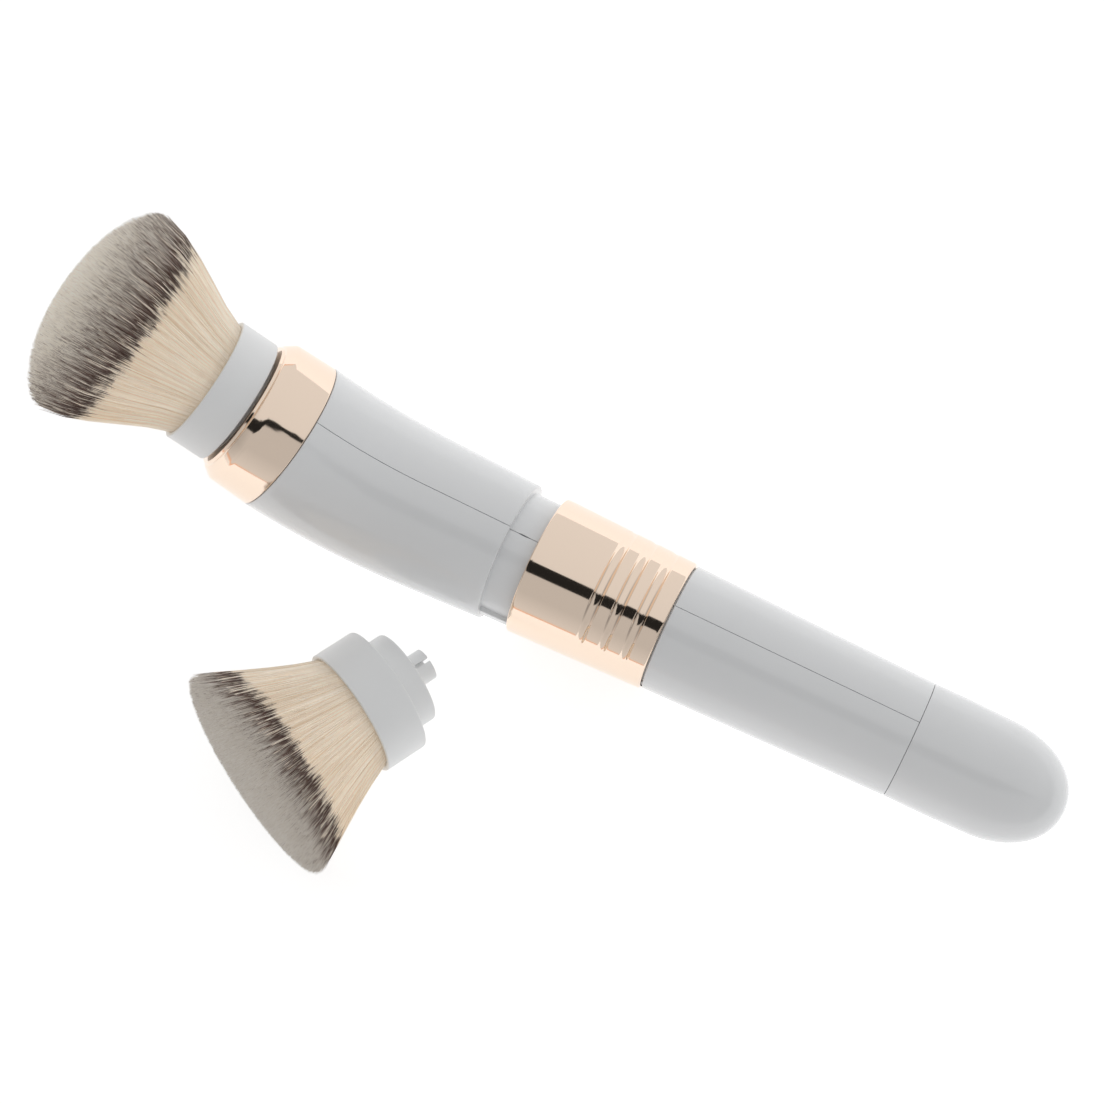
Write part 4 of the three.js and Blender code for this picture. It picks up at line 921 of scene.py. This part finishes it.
def plug_mesh(sizes, at):
    """The plug: a boss in the cup, a disc, and a slotted spigot that fits the drive hub."""
    boss = 7.7 * MM
    boss_front = at.cup_rear + 2.4 * MM
    outline = rounded([
        (at.disc_rear + 1 * MM, 0, 0),
        (at.disc_rear + 1 * MM, sizes.spigot_bore, 0.1 * MM),
        (at.spigot_end, sizes.spigot_bore, 0.2 * MM),
        (at.spigot_end, sizes.spigot_radius, 0.3 * MM),
        (at.disc_rear, sizes.spigot_radius, 0.25 * MM),
        (at.disc_rear, sizes.disc_radius, 0.6 * MM),
        (at.disc_front, sizes.disc_radius, 0.25 * MM),
        (at.disc_front, boss, 0.05 * MM),
        (boss_front, boss, 0.3 * MM),
        (boss_front, 0, 0),
    ])
    half = sizes.slot_width / 2
    reach = 6 * MM
    past_end = -(at.spigot_end - MM)
    slot_end, relief_end = -(at.spigot_end + sizes.slot_depth), -(at.disc_rear - 0.3 * MM)
    cutters = [box_mesh((end, -reach, -width), (past_end, reach, width))
               for end, width in ((slot_end, half), (relief_end, half / 3))]
    mesh = cut(revolve("plug", outline, 96), cutters)
    outward(mesh)
    return mesh


def brush_heads(scene):
    """The two heads: word, body, frame, stations and the turn of the spigot's slot."""
    sizes, fit = scene.brush_head, scene.brush_handle.fit
    fitted, spare = (HeadPlace(sizes, fit, cup) for cup in (sizes.cup_length, sizes.spare_cup_length))
    return (("brush", "brush_head", NOSE, fitted, 0),
            ("spare", "spare_head", spare_place(), spare, math.pi / 2))


class BRUSH_OT_ferrules(bpy.types.Operator):
    """Make the ferrule cup and slotted plug of each brush head"""
    bl_idname = "makeup_brush.ferrules"
    bl_label = "Ferrules and plugs"

    def execute(self, context):
        sizes = context.scene.brush_head
        for word, body, place, at, turn in brush_heads(context.scene):
            for part, mesh in (("ferrule_cup", revolve("cup", cup_outline(sizes, at), 160)),
                               ("plug", plug_mesh(sizes, at))):
                mesh.transform(place @ Matrix.Rotation(turn, 4, "X"))
                smooth(mesh)
                finished(mesh, f"{word}_{part}_satin", body, "satin_white", [f"{word}_{part}"])
        return {"FINISHED"}


# ------------------------------------------------------------------ bristles

class FieldTree:
    """A Geometry Nodes tree with named inputs and short calls for its maths."""

    def __init__(self, name, inputs):
        self.tree = bpy.data.node_groups.new(name, "GeometryNodeTree")
        self.tree.interface.new_socket("Geometry", in_out="INPUT", socket_type="NodeSocketGeometry")
        self.sockets = {}
        for label, kind in inputs:
            self.sockets[label] = self.tree.interface.new_socket(
                label, in_out="INPUT", socket_type=f"NodeSocket{kind}")
        self.tree.interface.new_socket("Geometry", in_out="OUTPUT", socket_type="NodeSocketGeometry")
        self.entry = self.tree.nodes.new("NodeGroupInput")
        self.exit = self.tree.nodes.new("NodeGroupOutput")

    def value(self, label):
        return self.entry.outputs[label]

    def node(self, kind, inputs=None, **settings):
        made = self.tree.nodes.new(kind)
        for name, value in settings.items():
            setattr(made, name, value)
        for name, value in (inputs or {}).items():
            if isinstance(value, bpy.types.NodeSocket):
                self.tree.links.new(value, made.inputs[name])
            else:
                made.inputs[name].default_value = value
        return made

    def math(self, operation, *values):
        return self.node("ShaderNodeMath", dict(enumerate(values)), operation=operation).outputs[0]

    def chance(self, seed, low=0.0, high=1.0):
        index = self.node("GeometryNodeInputIndex").outputs[0]
        made = self.node("FunctionNodeRandomValue", {"Min": low, "Max": high, "ID": index, "Seed": seed},
                         data_type="FLOAT")
        return next(out for out in made.outputs if out.enabled and out.type == "VALUE")

    def store(self, geometry, name, value):
        made = self.node("GeometryNodeStoreNamedAttribute",
                         {"Geometry": geometry, "Name": name, "Value": value},
                         data_type="FLOAT", domain="POINT")
        return made.outputs["Geometry"]

    def named(self, name):
        made = self.node("GeometryNodeInputNamedAttribute", {"Name": name}, data_type="FLOAT")
        return made.outputs["Attribute"]


FILAMENT_INPUTS = [
    ("Count", "Int"), ("Seed", "Int"), ("Segments", "Int"), ("Spread Low", "Float"), ("Spread High", "Float"),
    ("Start", "Float"), ("Root Radius", "Float"), ("Belly Radius", "Float"), ("Belly Distance", "Float"),
    ("Crown", "Float"), ("Crown Power", "Float"), ("Flare Turn", "Float"), ("Flare Power", "Float"),
    ("Filament Radius", "Float"), ("Looseness", "Float"), ("Tufts", "Float"), ("Band Distance", "Float"),
    ("Material", "Material")]


LONGEST = 0.35                   # how far the longest filament stands out, as a share of the looseness
DRIFT_SHARE = 0.7                # how far a filament strays sideways, as a share of the looseness
TAPER = 0.75                     # how much of its thickness a filament loses by its end
TAPER_POWER = 5.0                # how late it thins


def filament_tree():
    """Filaments from a round root that flare to a belly and end on a crown. X runs along the filaments."""
    t = FieldTree("filament_bundle", FILAMENT_INPUTS)
    value, maths = t.value, t.math
    seed = value("Seed")
    points = t.node("GeometryNodePoints", {"Count": value("Count")}).outputs[0]
    low2, high2 = (maths("POWER", value(label), 2.0) for label in ("Spread Low", "Spread High"))
    past_low = maths("MULTIPLY", t.chance(seed), maths("SUBTRACT", high2, low2))
    spread = maths("SQRT", maths("ADD", low2, past_low))
    seeds = [maths("ADD", seed, float(k)) for k in range(1, 8)]
    points = t.store(points, "spread", spread)
    points = t.store(points, "turn", t.chance(seeds[0], 0.0, 2 * math.pi))
    points = t.store(points, "tone", t.chance(seeds[1]))
    points = t.store(points, "reach", t.chance(seeds[2]))
    points = t.store(points, "sway", t.chance(seeds[3], -1.0, 1.0))
    points = t.store(points, "lean", t.chance(seeds[4], -1.0, 1.0))
    turn, spread = t.named("turn"), t.named("spread")
    seat = t.node("ShaderNodeCombineXYZ", {"X": maths("MULTIPLY", spread, maths("COSINE", turn)),
                                           "Y": maths("MULTIPLY", spread, maths("SINE", turn))}).outputs[0]
    tufts = t.node("ShaderNodeTexNoise", {"Vector": seat, "Scale": value("Tufts"), "Detail": 2.0})
    points = t.store(points, "tuft", tufts.outputs[0])
    line = t.node("GeometryNodeCurvePrimitiveLine").outputs[0]
    steps = maths("ADD", value("Segments"), 1.0)
    line = t.node("GeometryNodeResampleCurve", {"Curve": line, "Count": steps}).outputs[0]
    hairs = t.node("GeometryNodeInstanceOnPoints", {"Points": points, "Instance": line}).outputs[0]
    hairs = t.node("GeometryNodeRealizeInstances", {"Geometry": hairs}).outputs[0]

    spread, turn, reach, sway, lean = (t.named(key) for key in ("spread", "turn", "reach", "sway", "lean"))
    factor = t.node("GeometryNodeSplineParameter").outputs["Factor"]
    share = maths("ADD", value("Start"), maths("MULTIPLY", factor, maths("SUBTRACT", 1.0, value("Start"))))
    crown = maths("MULTIPLY", value("Crown"), maths("SQRT", maths("MAXIMUM", maths(
        "SUBTRACT", 1.0, maths("POWER", spread, value("Crown Power"))), 0.0)))
    standing = maths("SUBTRACT", LONGEST, maths("MULTIPLY", reach, reach))
    uneven = maths("MULTIPLY", value("Looseness"), standing)
    whole = maths("ADD", maths("ADD", value("Belly Distance"), crown), uneven)
    distance = maths("MULTIPLY", share, whole)
    toward = maths("MINIMUM", maths("DIVIDE", distance, value("Belly Distance")), 1.0)
    curve = maths("DIVIDE", maths("SINE", maths("MULTIPLY", toward, value("Flare Turn"))),
                  maths("SINE", value("Flare Turn")))
    flare = maths("POWER", maths("MAXIMUM", curve, 0.0), value("Flare Power"))
    envelope = maths("ADD", value("Root Radius"), maths(
        "MULTIPLY", flare, maths("SUBTRACT", value("Belly Radius"), value("Root Radius"))))
    loose = maths("MULTIPLY", value("Looseness"), DRIFT_SHARE)
    drift = maths("MULTIPLY", maths("MULTIPLY", share, share), loose)
    radius = maths("ADD", maths("MULTIPLY", envelope, spread), maths("MULTIPLY", drift, lean))
    swayed = maths("DIVIDE", maths("MULTIPLY", drift, sway), maths("MAXIMUM", radius, 0.002))
    turned = maths("ADD", turn, swayed)
    place = t.node("ShaderNodeCombineXYZ", {
        "X": distance,
        "Y": maths("MULTIPLY", radius, maths("SINE", turned)),
        "Z": maths("MULTIPLY", radius, maths("COSINE", turned))}).outputs[0]
    hairs = t.node("GeometryNodeSetPosition", {"Geometry": hairs, "Position": place}).outputs[0]
    band, whole = value("Band Distance"), maths("ADD", value("Belly Distance"), value("Crown"))
    below = maths("MINIMUM", maths("DIVIDE", distance, band), 1.0)
    past_band = maths("SUBTRACT", distance, band)
    above = maths("MAXIMUM", maths("DIVIDE", past_band, maths("SUBTRACT", whole, band)), 0.0)
    hairs = t.store(hairs, "along", maths("MULTIPLY", maths("ADD", below, above), 0.5))
    taper = maths("SUBTRACT", 1.0, maths("MULTIPLY", TAPER, maths("POWER", share, TAPER_POWER)))
    thickness = maths("MULTIPLY", value("Filament Radius"), taper)
    hairs = t.node("GeometryNodeSetCurveRadius", {"Curve": hairs, "Radius": thickness}).outputs[0]
    section = t.node("GeometryNodeCurvePrimitiveCircle", {"Resolution": 3, "Radius": 1.0}).outputs[0]
    mesh = t.node("GeometryNodeCurveToMesh", {"Curve": hairs, "Profile Curve": section, "Fill Caps": True})
    if "Scale" in mesh.inputs:
        t.tree.links.new(thickness, mesh.inputs["Scale"])
    mesh = t.node("GeometryNodeRealizeInstances", {"Geometry": mesh.outputs[0]}).outputs[0]
    mesh = t.node("GeometryNodeSetShadeSmooth", {"Geometry": mesh, "Shade Smooth": True}).outputs[0]
    mesh = t.node("GeometryNodeSetMaterial", {"Geometry": mesh, "Material": value("Material")}).outputs[0]
    t.tree.links.new(mesh, t.exit.inputs[0])
    return t


def grown(tree, values):
    """The mesh that a tree makes with these inputs."""
    host = bpy.data.objects.new("filament_host", bpy.data.meshes.new("filament_host"))
    bpy.context.scene.collection.objects.link(host)
    modifier = host.modifiers.new("filaments", "NODES")
    modifier.node_group = tree.tree
    for label, value in values.items():
        modifier[tree.sockets[label].identifier] = value
    host.update_tag()
    result = bpy.data.meshes.new_from_object(host.evaluated_get(bpy.context.evaluated_depsgraph_get()))
    host.modifiers.clear()
    bpy.data.objects.remove(host)
    return result


TUFT_SCALE = 40.0                # scale of the noise that groups filaments into tufts
FOOT_SHARE = 0.3                 # how deep the core stands in its cup, as a share of the root's radius
CORE_SHRINK = 0.95               # the core's radius as a share of the filaments'
CORE_HEIGHT = 0.97               # where the core's side ends, as a share of the belly's distance
CORE_DROP = 1.2 * MM             # how far its top lies below the filaments' ends
CORE_TONE = 0.8
CORE_TUFT = 0.42


def envelope_radius(values, share):
    """The radius of the bundle's outside, a share of the way from the root to the belly."""
    root, belly = values["Root Radius"], values["Belly Radius"]
    curve = math.sin(share * values["Flare Turn"]) / math.sin(values["Flare Turn"])
    return root + (belly - root) * curve ** values["Flare Power"]


def core_mesh(values, foot):
    """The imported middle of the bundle: a closed form just inside the filaments' ends."""
    belly = values["Belly Distance"]
    outline = [(foot, 0), (foot, values["Root Radius"] * 0.97)]
    for share in np.linspace(0.0, CORE_HEIGHT, 26):
        outline.append((belly * share, envelope_radius(values, share) * CORE_SHRINK))
    top = values["Belly Radius"] * CORE_SHRINK
    for turn in np.linspace(0.1, math.pi / 2, 16):
        spread = math.cos(turn)
        rise = values["Crown"] * math.sqrt(max(0, 1 - spread ** values["Crown Power"]))
        outline.append((belly * CORE_HEIGHT + rise - CORE_DROP * math.sin(turn), top * spread))
    outline[-1] = (outline[-1][0], 0)
    mesh = revolve("core", outline, 96)
    whole, band = belly + values["Crown"], values["Band Distance"]
    along = mesh.attributes.new("along", "FLOAT", "POINT")
    tone = mesh.attributes.new("tone", "FLOAT", "POINT")
    tuft = mesh.attributes.new("tuft", "FLOAT", "POINT")
    for i, vert in enumerate(mesh.vertices):
        distance = -vert.co.x
        past_band = max(0, (distance - band) / (whole - band))
        along.data[i].value = 0.5 * (max(0, min(1, distance / band)) + min(0.6, past_band))
        tone.data[i].value = CORE_TONE
        tuft.data[i].value = CORE_TUFT
    return mesh


class BRUSH_OT_bristles(bpy.types.Operator):
    """Grow the filaments of the domed and the flat-topped brush head"""
    bl_idname = "makeup_brush.bristles"
    bl_label = "Bristles"

    def execute(self, context):
        sizes = context.scene.brush_bristles
        tree = filament_tree()
        shapes = {
            "brush": {"Root Radius": sizes.root_radius, "Belly Radius": sizes.domed_belly,
                      "Belly Distance": sizes.domed_length, "Crown": sizes.domed_crown, "Crown Power": 2.0,
                      "Band Distance": sizes.domed_band,
                      "Flare Turn": 1.35, "Flare Power": 1.25, "Looseness": 1.7 * MM},
            "spare": {"Root Radius": sizes.root_radius, "Belly Radius": sizes.flat_belly,
                      "Belly Distance": sizes.flat_length, "Crown": sizes.flat_crown, "Crown Power": 3.5,
                      "Band Distance": sizes.flat_band,
                      "Flare Turn": 0.3, "Flare Power": 1.08, "Looseness": 1.5 * MM},
        }
        layers = {
            "outer": {"Count": sizes.outer_count, "Seed": 3, "Segments": 5, "Start": 0.0,
                      "Spread Low": 0.9, "Spread High": 1.0},
            "inner": {"Count": sizes.inner_count, "Seed": 41, "Segments": 1, "Start": 0.66,
                      "Spread Low": 0.0, "Spread High": 0.985},
        }
        foot = -(sizes.root_radius * FOOT_SHARE)
        for word, body, place, at, _ in brush_heads(context.scene):
            toward_head = Matrix.Translation((-at.cup_front, 0, 0)) @ Matrix.Rotation(math.pi, 4, "Z")
            slot = {"brush": "domed_hair", "spare": "flat_hair"}[word]
            for layer, own in layers.items():
                mesh = grown(tree, {**shapes[word], **own, "Filament Radius": sizes.filament_radius,
                                    "Tufts": TUFT_SCALE, "Material": look_for(slot)})
                mesh.transform(place @ toward_head)
                finished(mesh, f"{word}_filaments_{layer}", body, slot,
                         [f"{word}_bristles"] if layer == "outer" else [])
            core = core_mesh(shapes[word], foot)
            core.transform(place @ Matrix.Translation((-at.cup_front, 0, 0)))
            smooth(core)
            finished(core, f"{word}_filament_core", body, slot, [])
        return {"FINISHED"}


# ------------------------------------------------------------------ carried-over pieces

class BRUSH_OT_inner_finishes(bpy.types.Operator):
    """Give every inner piece the finish of its material slot"""
    bl_idname = "makeup_brush.inner_finishes"
    bl_label = "Inner finishes"

    def execute(self, context):
        slots = {row["node"]: row["material_slot"] for row in RECORD["subparts"]}
        for node, thing in frame["nodes"].items():
            look = look_for(slots[node])
            if not thing.material_slots:
                thing.data.materials.append(look)
            for place in thing.material_slots:
                place.material = look
        return {"FINISHED"}


# ------------------------------------------------------------------ stage

CAMERA_RIGHT = Vector((0.8945, 0.4359, -0.1))
CAMERA_BACK = Vector((0.166, -0.118, 0.979))
CAMERA_FROM_COLLAR = Vector((81.5, -53.1, 471.9)) * MM
CAMERA_LENS = 73.9


def add_camera(scene):
    camera = bpy.data.objects.new("camera", bpy.data.cameras.new("camera"))
    camera.data.lens = CAMERA_LENS
    camera.data.sensor_width = 36
    camera.data.clip_start = 0.01
    back = CAMERA_BACK.normalized()
    up = back.cross(CAMERA_RIGHT).normalized()
    right = up.cross(back)
    place = Matrix((right, up, back)).transposed().to_4x4()
    place.translation = Spine(scene.brush_handle).place.translation + CAMERA_FROM_COLLAR
    camera.matrix_world = place
    scene.collection.objects.link(camera)
    scene.camera = camera


FLOOR_RADIUS = 3
FLOOR_LEVEL = -0.15 * MM
FLOOR_GLOW = 0.72                # lights the table from within, so that no shadow greys it


def add_floor(scene):
    bpy.ops.mesh.primitive_circle_add(vertices=96, radius=FLOOR_RADIUS, fill_type="NGON",
                                      location=(0, 0, FLOOR_LEVEL))
    floor = bpy.context.object
    floor.name = "floor"
    look = Look("pale_floor").set(Roughness=0.6)
    look.speckled(tuple(scene.brush_finishes.floor), 0.995, 1.005, 5)
    look.set(Emission_Color=(1, 1, 1, 1), Emission_Strength=FLOOR_GLOW)
    floor.data.materials.append(look.material)


class SkyTree:
    """Short calls for the maths in the studio's background."""

    def __init__(self, tree):
        self.nodes, self.links = tree.nodes, tree.links
        self.direction = self.nodes.new("ShaderNodeTexCoord").outputs["Generated"]

    def node(self, kind, inputs, **settings):
        made = self.nodes.new(kind)
        for name, value in settings.items():
            setattr(made, name, value)
        for name, value in inputs.items():
            if isinstance(value, bpy.types.NodeSocket):
                self.links.new(value, made.inputs[name])
            else:
                made.inputs[name].default_value = value
        return made

    def dot(self, vector):
        return self.node("ShaderNodeVectorMath", {0: self.direction, 1: vector},
                         operation="DOT_PRODUCT").outputs["Value"]

    def maths(self, operation, *values):
        return self.node("ShaderNodeMath", dict(enumerate(values)), operation=operation).outputs[0]

    def ranged(self, value, start, end, low, high):
        made = self.node("ShaderNodeMapRange", {
            "Value": value, "From Min": start, "From Max": end, "To Min": low, "To Max": high})
        return made.outputs["Result"]


# The studio seen round the handle, in degrees from straight above towards the near side.
# A warm edge stands between the bright walls and the greyer ones, as where the plating mirrors itself.
WARM_EDGE = (0.88, 0.52, 0.35)
STUDIO = [
    (-180, (1, 1, 1)), (-110, (0.97,) * 3), (-104.5, WARM_EDGE), (-99.5, (0.8,) * 3), (-2, (0.76,) * 3),
    (3, (0.56,) * 3), (50, (0.56,) * 3), (80, (0.7,) * 3), (84.5, WARM_EDGE), (89, (0.97,) * 3),
    (180, (1, 1, 1)),
]
BAR_START = -3.5                 # the dark bar overhead: where it starts, in the same degrees
BAR_WIDTHS = (4.5, 22)           # its width towards the cap and towards the brush head
BAR_REACH = (-0.68, 0.1)         # over which part of the sky it widens
BAR_WANDER = 2.2                 # how many degrees its ragged edges wander
BAR_LEVEL = 0.018
END_REACH = (0.72, 0.95)         # how nearly a direction must run along the handle to meet the greyer ends
END_LEVEL = 0.5


def add_world(scene):
    """A white studio with a greyer near side and a dark bar overhead, set out round the handle's axis.
    What stands behind the table is plain white."""
    world = bpy.data.worlds.new("studio")
    scene.world = world
    world.use_nodes = True
    sky = SkyTree(world.node_tree)
    above = CAMERA_BACK.normalized()
    axis = axis_of("collar_slide")
    axis = (axis - above * axis.dot(above)).normalized()
    near = axis.cross(above)
    if near.y > 0:
        near = -near
    turn = sky.maths("ARCTAN2", sky.dot(near), sky.dot(above))
    ramp = sky.node("ShaderNodeValToRGB", {"Fac": sky.ranged(turn, -math.pi, math.pi, 0, 1)})
    elements = ramp.color_ramp.elements
    while len(elements) < len(STUDIO):
        elements.new(0.5)
    for element, (degrees, level) in zip(elements, STUDIO):
        element.position = degrees / 360 + 0.5
        element.color = colour4(level)
    along = sky.dot(axis)
    ragged = sky.node("ShaderNodeTexNoise", {"Vector": sky.direction, "Scale": 9, "Detail": 3})
    degrees = sky.maths("MULTIPLY", turn, 180 / math.pi)
    wander = sky.ranged(ragged.outputs["Fac"], 0.3, 0.7, -BAR_WANDER, BAR_WANDER)
    wandering = sky.maths("ADD", degrees, wander)
    width = sky.ranged(along, *BAR_REACH, *BAR_WIDTHS)
    inside = sky.maths("SUBTRACT", wandering, BAR_START)
    past = sky.maths("SUBTRACT", width, inside)
    bar = sky.maths("MULTIPLY", sky.ranged(inside, 0, 1.2, 0, 1), sky.ranged(past, 0, 1.5, 0, 1))
    ends = sky.ranged(sky.maths("ABSOLUTE", along), *END_REACH, 1, END_LEVEL)
    walls = sky.node("ShaderNodeVectorMath", {0: ramp.outputs["Color"], "Scale": ends}, operation="SCALE")
    mixed = sky.node("ShaderNodeMix", {0: bar}, data_type="RGBA")
    sky.links.new(walls.outputs["Vector"], mixed.inputs[6])
    mixed.inputs[7].default_value = colour4([BAR_LEVEL] * 3)
    seen_straight = sky.node("ShaderNodeLightPath", {}).outputs["Is Camera Ray"]
    seen = sky.node("ShaderNodeMix", {0: seen_straight}, data_type="RGBA")
    sky.links.new(mixed.outputs[2], seen.inputs[6])
    seen.inputs[7].default_value = colour4((1, 1, 1))
    background = world.node_tree.nodes["Background"]
    sky.links.new(seen.outputs[2], background.inputs["Color"])
    background.inputs["Strength"].default_value = 1


class BRUSH_OT_stage(bpy.types.Operator):
    """Set the camera, the pale floor and the soft studio light"""
    bl_idname = "makeup_brush.stage"
    bl_label = "Stage"

    def execute(self, context):
        scene = context.scene
        scene.view_settings.view_transform = "Standard"
        add_camera(scene)
        add_floor(scene)
        add_world(scene)
        return {"FINISHED"}


# ------------------------------------------------------------------ add-on

class BRUSH_PT_panel(bpy.types.Panel):
    """Lists what can be built"""
    bl_label = "Make-up Brush"
    bl_idname = "BRUSH_PT_panel"
    bl_space_type = "VIEW_3D"
    bl_region_type = "UI"
    bl_category = "Make-up Brush"

    def draw(self, context):
        for operator in OPERATORS:
            self.layout.operator(operator.bl_idname)
        for key, group in GROUPS.items():
            box = self.layout.box()
            for name in group.__annotations__:
                box.prop(getattr(context.scene, key), name)


OPERATORS = (
    BRUSH_OT_stage,
    BRUSH_OT_inner_finishes,
    BRUSH_OT_shells,
    BRUSH_OT_collar,
    BRUSH_OT_trim_ring,
    BRUSH_OT_battery_cap,
    BRUSH_OT_ferrules,
    BRUSH_OT_bristles,
)


def register():
    for cls in (*GROUPS.values(), *OPERATORS, BRUSH_PT_panel):
        bpy.utils.register_class(cls)
    for key, group in GROUPS.items():
        setattr(bpy.types.Scene, key, PointerProperty(type=group))


def unregister():
    for key in GROUPS:
        delattr(bpy.types.Scene, key)
    for cls in (BRUSH_PT_panel, *reversed(OPERATORS), *reversed(list(GROUPS.values()))):
        bpy.utils.unregister_class(cls)


def main():
    register()
    for operator in OPERATORS:
        group, name = operator.bl_idname.split(".")
        getattr(getattr(bpy.ops, group), name)()


if __name__ == "__main__":
    main()
